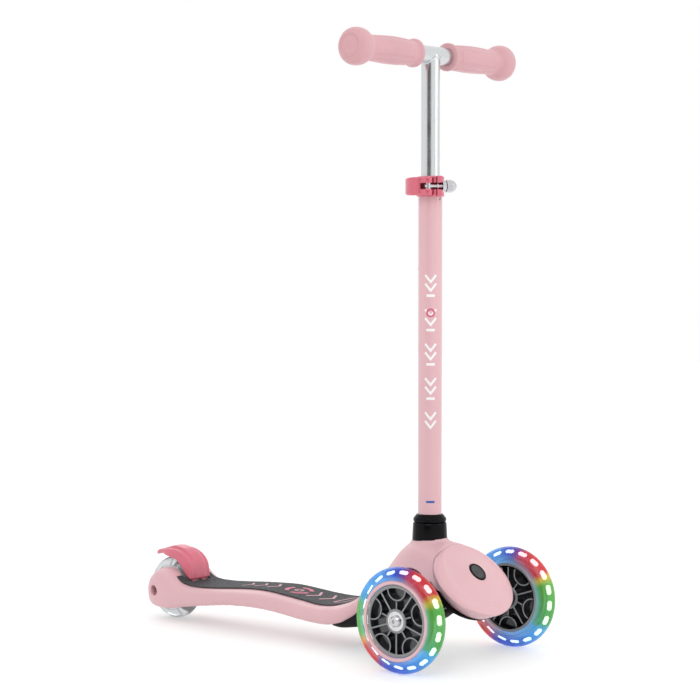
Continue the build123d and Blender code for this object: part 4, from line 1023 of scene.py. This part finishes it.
PINK = (0.70, 0.43, 0.46)
CORAL = (0.66, 0.13, 0.19)
MATERIAL = {
    "pink_moulding": moulding("pink_moulding", PINK, 0.42, coat=0.1, soft=0.12),
    "coral_moulding": moulding("coral_moulding", (0.66, 0.15, 0.21), 0.36, coat=0.2, soft=0.25),
    "pad": grip_tape("pad"),
    "black_moulding": moulding("black_moulding", (0.004, 0.004, 0.005), 0.16, grain=700.0,
                               grain_depth=0.00001, coat=0.0, shine=0.1),
    "textured_black": moulding("textured_black", (0.008, 0.008, 0.009), 0.5, grain=420.0,
                               grain_depth=0.0002, coat=0.0, shine=0.12),
    "black_cast": painted("black_cast", (0.02, 0.02, 0.022), 0.45, coat=0.2),
    "screw_steel": metal("screw_steel", (0.62, 0.62, 0.64), 0.24, streak=(1, 0.1, 1)),
    "dark_steel": metal("dark_steel", (0.10, 0.10, 0.11), 0.38, streak=(1, 1, 0.2)),
    "spring_steel": metal("spring_steel", (0.45, 0.46, 0.48), 0.3, streak=(1, 1, 0.3)),
    "bronze_bush": metal("bronze_bush", (0.55, 0.38, 0.17), 0.35),
    "grey_button": moulding("grey_button", (0.05, 0.052, 0.056), 0.55, grain=1200.0,
                            grain_depth=0.00006, coat=0.0),
    "pink_tube": painted("pink_tube", (0.70, 0.42, 0.45), 0.32, coat=0.45),
    "silver_tube": metal("silver_tube", (0.66, 0.68, 0.69), 0.22, streak=(1, 1, 0.05),
                         depth=0.000002),
    "white_plastic": moulding("white_plastic", (0.75, 0.75, 0.73), 0.5, coat=0.0, soft=0.1),
    "coral_clamp": painted("coral_clamp", CORAL, 0.26, metallic=0.35, coat=0.4, flake=True),
    "grip_rubber": rubbery("grip_rubber", (0.65, 0.36, 0.39), 0.5),
    "hub_grey": smoked_plastic("hub_grey", (0.16, 0.165, 0.175), 0.15),
    "hub_dark": smoked_plastic("hub_dark", (0.012, 0.013, 0.016), 0.1),
    "ring_pink": moulding("ring_pink", (0.72, 0.45, 0.48), 0.35, coat=0.2),
    "bearing_steel": metal("bearing_steel", (0.66, 0.66, 0.67), 0.16, streak=(1, 0.05, 1)),
    "rear_tyre": clear_rubber("rear_tyre"),
    "graphic_white": painted("graphic_white", (0.86, 0.85, 0.84), 0.4, coat=0.2),
    "graphic_pink": painted("graphic_pink", (0.62, 0.33, 0.38), 0.55, coat=0.0),
    "graphic_coral": painted("graphic_coral", (0.60, 0.12, 0.20), 0.5, coat=0.0),
    "graphic_blue": painted("graphic_blue", (0.03, 0.09, 0.38), 0.4, coat=0.2),
}
MATERIAL["light_bar"] = MATERIAL["white_plastic"]
MATERIAL["clear_tyre"] = MATERIAL["rear_tyre"]


# --------------------------------------------------------------------- build: deck
def build_deck():
    mesh_piece("deck_shell", *moulded(deck_solid, (-487, -62, 12), (50, 62, 142), 1.25),
               MATERIAL["pink_moulding"], "deck", ["deck_body"], "pink_moulding")
    mesh_piece("hull", *moulded(belly_solid, (-168, -52, 20), (-4, 52, 86), 1.2),
               MATERIAL["textured_black"], "deck", ["belly_pan"], "black_moulding")
    mesh_piece("cover", *front_cover(), MATERIAL["pink_moulding"], "deck", ["front_cover"],
               "pink_moulding")
    bezel, face = button_parts()
    mesh_piece("bezel", *bezel, MATERIAL["black_moulding"], "deck", ["button_bezel"],
               "black_moulding")
    mesh_piece("button_cap", *face, MATERIAL["grey_button"], "lock_button", ["lock_button"],
               "grey_button")


def pad_surface():
    """The tread: a thin wavy sheet with a rolled edge, open round the brake."""
    def solid(x, y, z):
        a = np.abs(y)
        top = deck_top(x) + PAD_PROUD
        sheet = np.maximum(z - top, top - 1.75 - z)
        return soft_max(pad_plan(x, a), sheet, 0.8)
    return moulded(solid, (-429, -43, 47), (-129, 43, 61), 0.8)


def build_pad():
    mesh_piece("tread", *pad_surface(), MATERIAL["pad"], "deck", ["grip_pad"], "pad")
    pale, strong = [], []
    for index, x in enumerate((-322, -300, -278, -212, -190)):
        reach = 11 + 1.2 * index if index < 3 else 15 + 1.5 * (index - 3)
        chevron = ribbon([(x - 9, -reach), (x, 0), (x - 9, reach)], 3.2, 0.35)
        pale.append(on_pad(chevron))
    pale.append(on_pad(ribbon(rounded_box((-166, 0), 15, 40, 5), 2.8, 0.35, closed=True)))
    for angle in (30, 150, 270):
        strong.append(on_pad(ribbon(arc((-245, 0), 15.5, angle, angle + 84, 14), 5.5, 0.35)))
    pale.append(on_pad(ribbon(rounded_box((-245, 0), 9, 9, 3), 2.4, 0.35, closed=True)))
    mesh_piece("tread_marks", *join(*pale), MATERIAL["graphic_pink"], "deck", (), "pad", flat=True)
    mesh_piece("tread_ring", *join(*strong), MATERIAL["graphic_coral"], "deck", (), "pad", flat=True)


# ------------------------------------------------------------------- build: column
def build_column():
    base = (COLUMN_X, 0, 0)
    collar = [(134.6, 20.8), (138.5, 20.75), (150, 20.2), (155.5, 19.9), (157.2, 19.6),
              (157.9, 18.9), (158.1, 18.4), (158.4, 14.05)]
    mesh_piece("collar", *placed(revolved([(134.6, 14.05)] + collar, 96), base),
               MATERIAL["black_moulding"], "deck", ["column_collar"], "black_moulding")
    ring = rounded([(158.6, 14.05), (158.6, 18.9), (160.2, 19.5), (162.6, 19.5), (167.6, 15.6),
                    (168, 14.05)], 0.7, 3, closed=False)
    mesh_piece("lock_ring", *placed(revolved(ring, 96), base), MATERIAL["black_moulding"],
               "deck", ["collar_ring"], "black_moulding")
    middle = math.radians(-50) * OUTER_TUBE_R
    marks = []
    for index in range(5):
        z = 448 - 40 * index
        marks.append(ribbon([(middle - 6.5, z), (middle, z - 8), (middle + 6.5, z)], 2.6, 0.12))
        marks.append(ribbon([(middle - 6.5, z - 10), (middle, z - 18), (middle + 6.5, z - 10)],
                            2.6, 0.12))
    for index in range(4):
        marks.append(ribbon([(middle - 5, 424 - 40 * index), (middle + 5, 424 - 40 * index)], 3, 0.12))
    mesh_piece("tube_marks", *join(*[on_tube(mark) for mark in marks]),
               MATERIAL["graphic_white"], "deck", (), "pink_tube", flat=True)
    dot = ribbon(arc((middle, 404), 4.2, 0, 345, 30), 2.2, 0.16, step=1.0, closed=True)
    mesh_piece("tube_dot", *on_tube(dot), MATERIAL["graphic_coral"], "deck", (), "pink_tube",
               flat=True)
    label = [ribbon([(middle - 5, 183), (middle + 5, 183)], 2.6, 0.12)]
    mesh_piece("tube_label", *join(*[on_tube(part) for part in label]),
               MATERIAL["graphic_blue"], "deck", (), "pink_tube", flat=True)


# ---------------------------------------------------------------- build: handlebar
def grip_points():
    """One grip as rings along +Y, with a raised panel on four sides."""
    profile = [(30.2, 10.6), (30.2, 15.0), (30.7, 16.0), (31.6, 16.5), (33.8, 16.55), (34.9, 16.1),
               (36.0, 14.9), (37.2, 14.0), (39.4, 13.7), (42, 13.9), (48, 14.3), (56, 14.8),
               (66, 15.2), (78, 15.35), (90, 15.1), (100, 14.6), (110, 14.1), (117, 13.9),
               (120, 14.3), (122.5, 15.4), (124.5, 17.2), (126.5, 18.9), (129.5, 20.4),
               (133.5, 21.3), (137, 21.5), (140.5, 21.1), (143.5, 20.0), (145.8, 18.2),
               (147.1, 16.2), (147.7, 14.8), (147.9, 14.0), (147.3, 13.4), (146.9, 12.4),
               (147.2, 10.6), (148.2, 9.0), (148.4, 7.5), (148.4, 4.5), (148.1, 3.9), (147.7, 3.2),
               (147.7, 0.02)]
    dense = []
    for (y0, r0), (y1, r1) in zip(profile, profile[1:]):
        pieces = max(1, int(abs(y1 - y0) / 1.5))
        dense += [(y0 + (y1 - y0) * k / pieces, r0 + (r1 - r0) * k / pieces)
                  for k in range(pieces)]
    dense.append(profile[-1])
    angles = np.linspace(0, 2 * math.pi, 120, endpoint=False)
    points = []
    for y, radius in dense:
        for angle in angles:
            local = (angle + math.pi / 4) % (math.pi / 2) - math.pi / 4
            waist = 6.6 + 1.6 * abs(y - 79) / 36
            panel = max(abs(local) * 15 - waist, abs(y - 79) - 35)
            raised = 0.75 * min(1.0, max(0.0, 0.5 - panel / 1.4))
            groove = -0.55 * math.exp(-(panel / 0.7) ** 2)
            r = radius + (raised + groove if 40 < y < 118 else 0.0)
            points.append((r * math.cos(angle), y, -r * math.sin(angle)))
    return np.array(points) + [COLUMN_X, 0, CROSSBAR_Z], grid_faces(len(dense), 120)


def build_handlebar():
    points, faces = grip_points()
    mesh_piece("grip_l", points, faces, MATERIAL["grip_rubber"], "handlebar", ["grip_left"],
               "grip_rubber")
    mesh_piece("grip_r", *mirror_y(points, faces), MATERIAL["grip_rubber"], "handlebar",
               ["grip_right"], "grip_rubber")
    bead = []
    rows, around = 96, 10
    for row in range(rows):
        angle = 2 * math.pi * row / rows
        x, y = 11.0 * math.cos(angle), 11.0 * math.sin(angle)
        z = -math.sqrt(max(CROSSBAR_R ** 2 - min(abs(x), CROSSBAR_R - 0.4) ** 2, 0))
        ripple = 1.25 + 0.12 * math.sin(row * 2.1)
        out = np.array([math.cos(angle), math.sin(angle), 0])
        for k in range(around):
            turn = 2 * math.pi * k / around
            lift = np.array([0, 0, -0.2 + ripple * math.sin(turn)])
            offset = out * (0.2 + ripple * math.cos(turn)) + lift
            bead.append(np.array([x, y, z]) + offset)
    bead = np.array(bead) + [COLUMN_X, 0, CROSSBAR_Z]
    mesh_piece("weld", bead, grid_faces(rows, around, wrap_rows=True), MATERIAL["silver_tube"],
               "handlebar", (), "silver_tube")


# -------------------------------------------------------------------- build: clamp
BOLT_E = 20.0
LEVER_PIN_B = -9.0
BAND_R = 16.2


def collar_solid(x, y, z):
    radius = np.hypot(x, y)
    ears = soft_max(soft_max(x - 26, np.abs(y - 1.9) - 5.6, 3), 10 - x, 1)
    body = soft_min(radius - BAND_R, ears, 3)
    body = soft_max(body, np.abs(z - CLAMP_MID_Z) - 12, 1.6)
    body = np.maximum(body, OUTER_TUBE_R - radius)
    body = np.maximum(body, -np.maximum(np.abs(y + 0.4) - 0.5, 8 - x))
    window = soft_max(np.abs(z - CLAMP_MID_Z) - 3.7, BOLT_E - 2.8 - x, 1.5)
    return soft_max(body, -window, 1.2)


def lever_solid(x, y, z):
    """Lever: a boss round its pin, and a curved blade that hugs the collar."""
    height = np.abs(z - CLAMP_MID_Z)
    angle = np.arctan2(-y, x)
    radius = np.hypot(x, y)
    inner = 17.2 + 2.6 * np.exp(-((angle - 2.05) / 0.5) ** 2)
    outer = np.interp(angle, (0.2, 0.5, 0.9, 1.4, 1.8, 2.1), (23.5, 23.6, 25.6, 28.2, 29.2, 28.9))
    blade = soft_max(radius - outer, inner - radius, 2.2)
    blade = soft_max(blade, 0.42 * 20 - angle * 20, 2)
    blade = soft_max(blade, (angle - 2.02) * 26, 3)
    boss = np.hypot(x - BOLT_E, y - LEVER_PIN_B) - 5.4
    body = soft_min(blade, boss, 4)
    crown = 10.7 - 1.6 * np.clip((angle - 1.2) / 0.9, 0, 1) ** 2
    body = soft_max(body, height - crown, 2.4)
    slot = soft_max(soft_max(height - 3.3, 9.0 - x, 2), y + 0.5, 1)
    slot = np.maximum(slot, -17.2 - y)
    body = soft_max(body, -slot, 1.8)
    body = np.maximum(body, BAND_R + 0.4 - radius)
    return np.maximum(body, 3.05 - np.hypot(x - BOLT_E, y - LEVER_PIN_B))


def knurled_nut():
    rows = [(12.2, 2.55), (12.2, 6.2), (12.7, 6.95), (19.3, 6.95), (19.7, 6.4), (19.9, 6.3),
            (21.5, 6.3), (21.9, 5.9), (23.4, 4.9), (24.6, 3.4), (25.2, 1.6), (25.4, 0.02),
            (20.9, 0.02), (20.9, 2.55)]
    points, faces = revolved(rows, 144)
    turn = np.arctan2(points[:, 1], points[:, 0])
    teeth = np.where(np.hypot(points[:, 0], points[:, 1]) > 6.65, 0.32 * np.cos(24 * turn), 0)
    radius = np.hypot(points[:, 0], points[:, 1])
    points[:, :2] *= (1 + teeth / np.maximum(radius, 1))[:, None]
    return column_placed(placed((points, faces), (BOLT_E, 0, CLAMP_MID_Z), (0, 1, 0)))


def build_clamp():
    points, faces = moulded(collar_solid, (-19, -19, 537), (28, 19, 565), 0.5)
    mesh_piece("clamp_band", *column_placed((points, faces)), MATERIAL["coral_clamp"], "deck",
               ["clamp_collar"], "coral_clamp")
    points, faces = moulded(lever_solid, (-16, -31, 538), (27, 0, 564), 0.45)
    mesh_piece("lever", *column_placed((points, faces)), MATERIAL["coral_clamp"], "clamp_lever",
               ["clamp_lever"], "coral_clamp")
    mesh_piece("thumb_nut", *knurled_nut(), MATERIAL["screw_steel"], "clamp_nut", ["clamp_nut"],
               "coral_clamp")


# ------------------------------------------------------------------- build: wheels
def build_front_wheel(side):
    label = "left" if side > 0 else "right"
    body = f"front_wheel_{label}"
    centre = np.array([0, side * HALF_TRACK, FRONT_WHEEL_R])
    tyre = lit_tyre(f"lit_tyre_{label}", centre)
    bars = light_guide(f"light_bars_{label}", centre)
    mesh_piece(f"tyre_{label}", *spun(tyre_profile(FRONT_WHEEL_R, RIM_R), centre, 180, side), tyre,
               body, [f"front_tyre_{label}"], "clear_tyre")
    points, faces = join(*[light_bar(360 / BAR_COUNT * index - 4 * side) for index in range(BAR_COUNT)])
    mesh_piece(f"bars_{label}", points + centre, faces, bars, body,
               [f"front_lights_{label}"], "light_bar")
    ring = [(8.4, 41.7), (10.4, 41.8), (11.0, 42.6), (11.15, 43.8), (11.0, 45.0), (10.4, 45.9),
            (8.4, 46.0)]
    mesh_piece(f"ring_{label}", *spun(ring, centre, 144, side), MATERIAL["ring_pink"], body,
               [f"front_ring_{label}"], "ring_pink")
    rim, ribs, web = front_hub_parts()
    axis = (0, side, 0)
    hub = hub_plastic(f"hub_{label}", centre)
    mesh_piece(f"rim_{label}", *placed(rim, centre, axis), hub, body,
               [f"front_hub_{label}"], "hub_grey")
    mesh_piece(f"ribs_{label}", *placed(ribs, centre, axis), hub, body, (),
               "hub_grey")
    mesh_piece(f"web_{label}", *placed(web, centre, axis), MATERIAL["hub_dark"], body, (),
               "hub_grey")


def build_rear():
    centre = np.array([REAR_AXLE_X, 0, REAR_WHEEL_R])
    mesh_piece("rear_tyre_skin", *spun(tyre_profile(REAR_WHEEL_R, 26.5), centre, 144),
               MATERIAL["rear_tyre"], "rear_wheel", ["rear_tyre"], "rear_tyre")
    mesh_piece("guard", *moulded(guard_solid, (-495, -25, 39), (-393, 25, 98), 0.9),
               MATERIAL["coral_moulding"], "brake", ["brake_guard"], "coral_moulding")


def build_truck():
    mesh_piece("truck_casting", *moulded(truck_solid, (-16, -101, 46), (20, 101, 94), 1.1),
               MATERIAL["black_cast"], "truck", ["truck"], "black_cast")


def finish_frame_nodes():
    """Procedural materials for the CAD nodes that are shown as they are."""
    slots = {part["node"]: part["material_slot"] for part in frame["record"]["subparts"]}
    for name, node in frame["nodes"].items():
        for index in range(len(node.material_slots)):
            node.material_slots[index].material = MATERIAL[slots[name]]


# ----------------------------------------------------------------- camera and stage
def aim(piece, location, target):
    piece.location = location
    direction = Vector(target) - Vector(location)
    piece.rotation_euler = direction.to_track_quat("-Z", "Y").to_euler()


def area_light(name, location, target, size, power, colour=(1, 1, 1)):
    light = bpy.data.lights.new(name, "AREA")
    light.shape = "RECTANGLE"
    light.size, light.size_y = size
    light.energy = power
    light.color = colour
    piece = bpy.data.objects.new(name, light)
    bpy.context.scene.collection.objects.link(piece)
    aim(piece, location, target)


def build_world(strength):
    """White studio with one soft dark panel in front of the object, low and to the left."""
    world = bpy.data.worlds.new("studio")
    bpy.context.scene.world = world
    world.use_nodes = True
    nodes, links = world.node_tree.nodes, world.node_tree.links
    place = nodes.new("ShaderNodeTexCoord")
    facing = nodes.new("ShaderNodeVectorMath")
    facing.operation = "DOT_PRODUCT"
    facing.inputs[1].default_value = PANEL_DIRECTION
    links.new(place.outputs["Generated"], facing.inputs[0])
    fade = nodes.new("ShaderNodeMapRange")
    fade.interpolation_type = "SMOOTHSTEP"
    links.new(facing.outputs["Value"], fade.inputs["Value"])
    for key, value in (("From Min", 0.84), ("From Max", 0.97), ("To Min", 1.0), ("To Max", 0.05)):
        fade.inputs[key].default_value = value
    links.new(fade.outputs["Result"], nodes["Background"].inputs["Color"])
    nodes["Background"].inputs["Strength"].default_value = strength


PANEL_DIRECTION = (0.369, -0.929, 0.0)


# mm, before the shift of the frame in x
CAMERA_PLACE = (1453.58, -1951.72, 469.14)
CAMERA_TARGET = (-163.49, 0.0, 356.7)
CAMERA_LENS = 108.0


def stage_point(x, y, z):
    return Vector(((x + SHIFT_X) * MM, y * MM, z * MM))


def build_stage():
    camera = bpy.data.cameras.new("camera")
    camera.lens = CAMERA_LENS
    camera.sensor_width = 36.0
    camera.clip_end = 50.0
    holder = bpy.data.objects.new("camera", camera)
    bpy.context.scene.collection.objects.link(holder)
    aim(holder, stage_point(*CAMERA_PLACE), stage_point(*CAMERA_TARGET))
    bpy.context.scene.camera = holder

    n = Nodes("floor")
    n.set(Base_Color=n.mix(n.noise(3.0, 3.0), (0.60, 0.60, 0.60, 1), (0.62, 0.62, 0.62, 1)))
    n.set(Emission_Color=(1, 1, 1, 1), Emission_Strength=0.42)
    n.set(Roughness=n.spread(n.noise(40.0, 3.0), 0.6, 0.7), Specular_IOR_Level=0.2)
    size = 6000.0
    floor = [(-size, -size, 0), (size, -size, 0), (size, size, 0), (-size, size, 0)]
    mesh_piece("floor", floor, [(0, 1, 2, 3)], n.material, None, flat=True, stage=True)

    build_world(1.0)
    area_light("key", (1.4, -2.2, 2.4), (0, 0, 0.35), (1.4, 1.4), 17)
    area_light("side", (2.6, 1.2, 1.4), (0, 0, 0.35), (1.2, 1.8), 8)
    area_light("back", (-2.0, 1.6, 1.8), (0, 0, 0.3), (1.5, 1.5), 8)
    bpy.context.scene.view_settings.view_transform = "Standard"


build_stage()
finish_frame_nodes()
build_deck()
build_pad()
build_column()
build_handlebar()
build_clamp()
build_front_wheel(1)
build_front_wheel(-1)
build_rear()
build_truck()
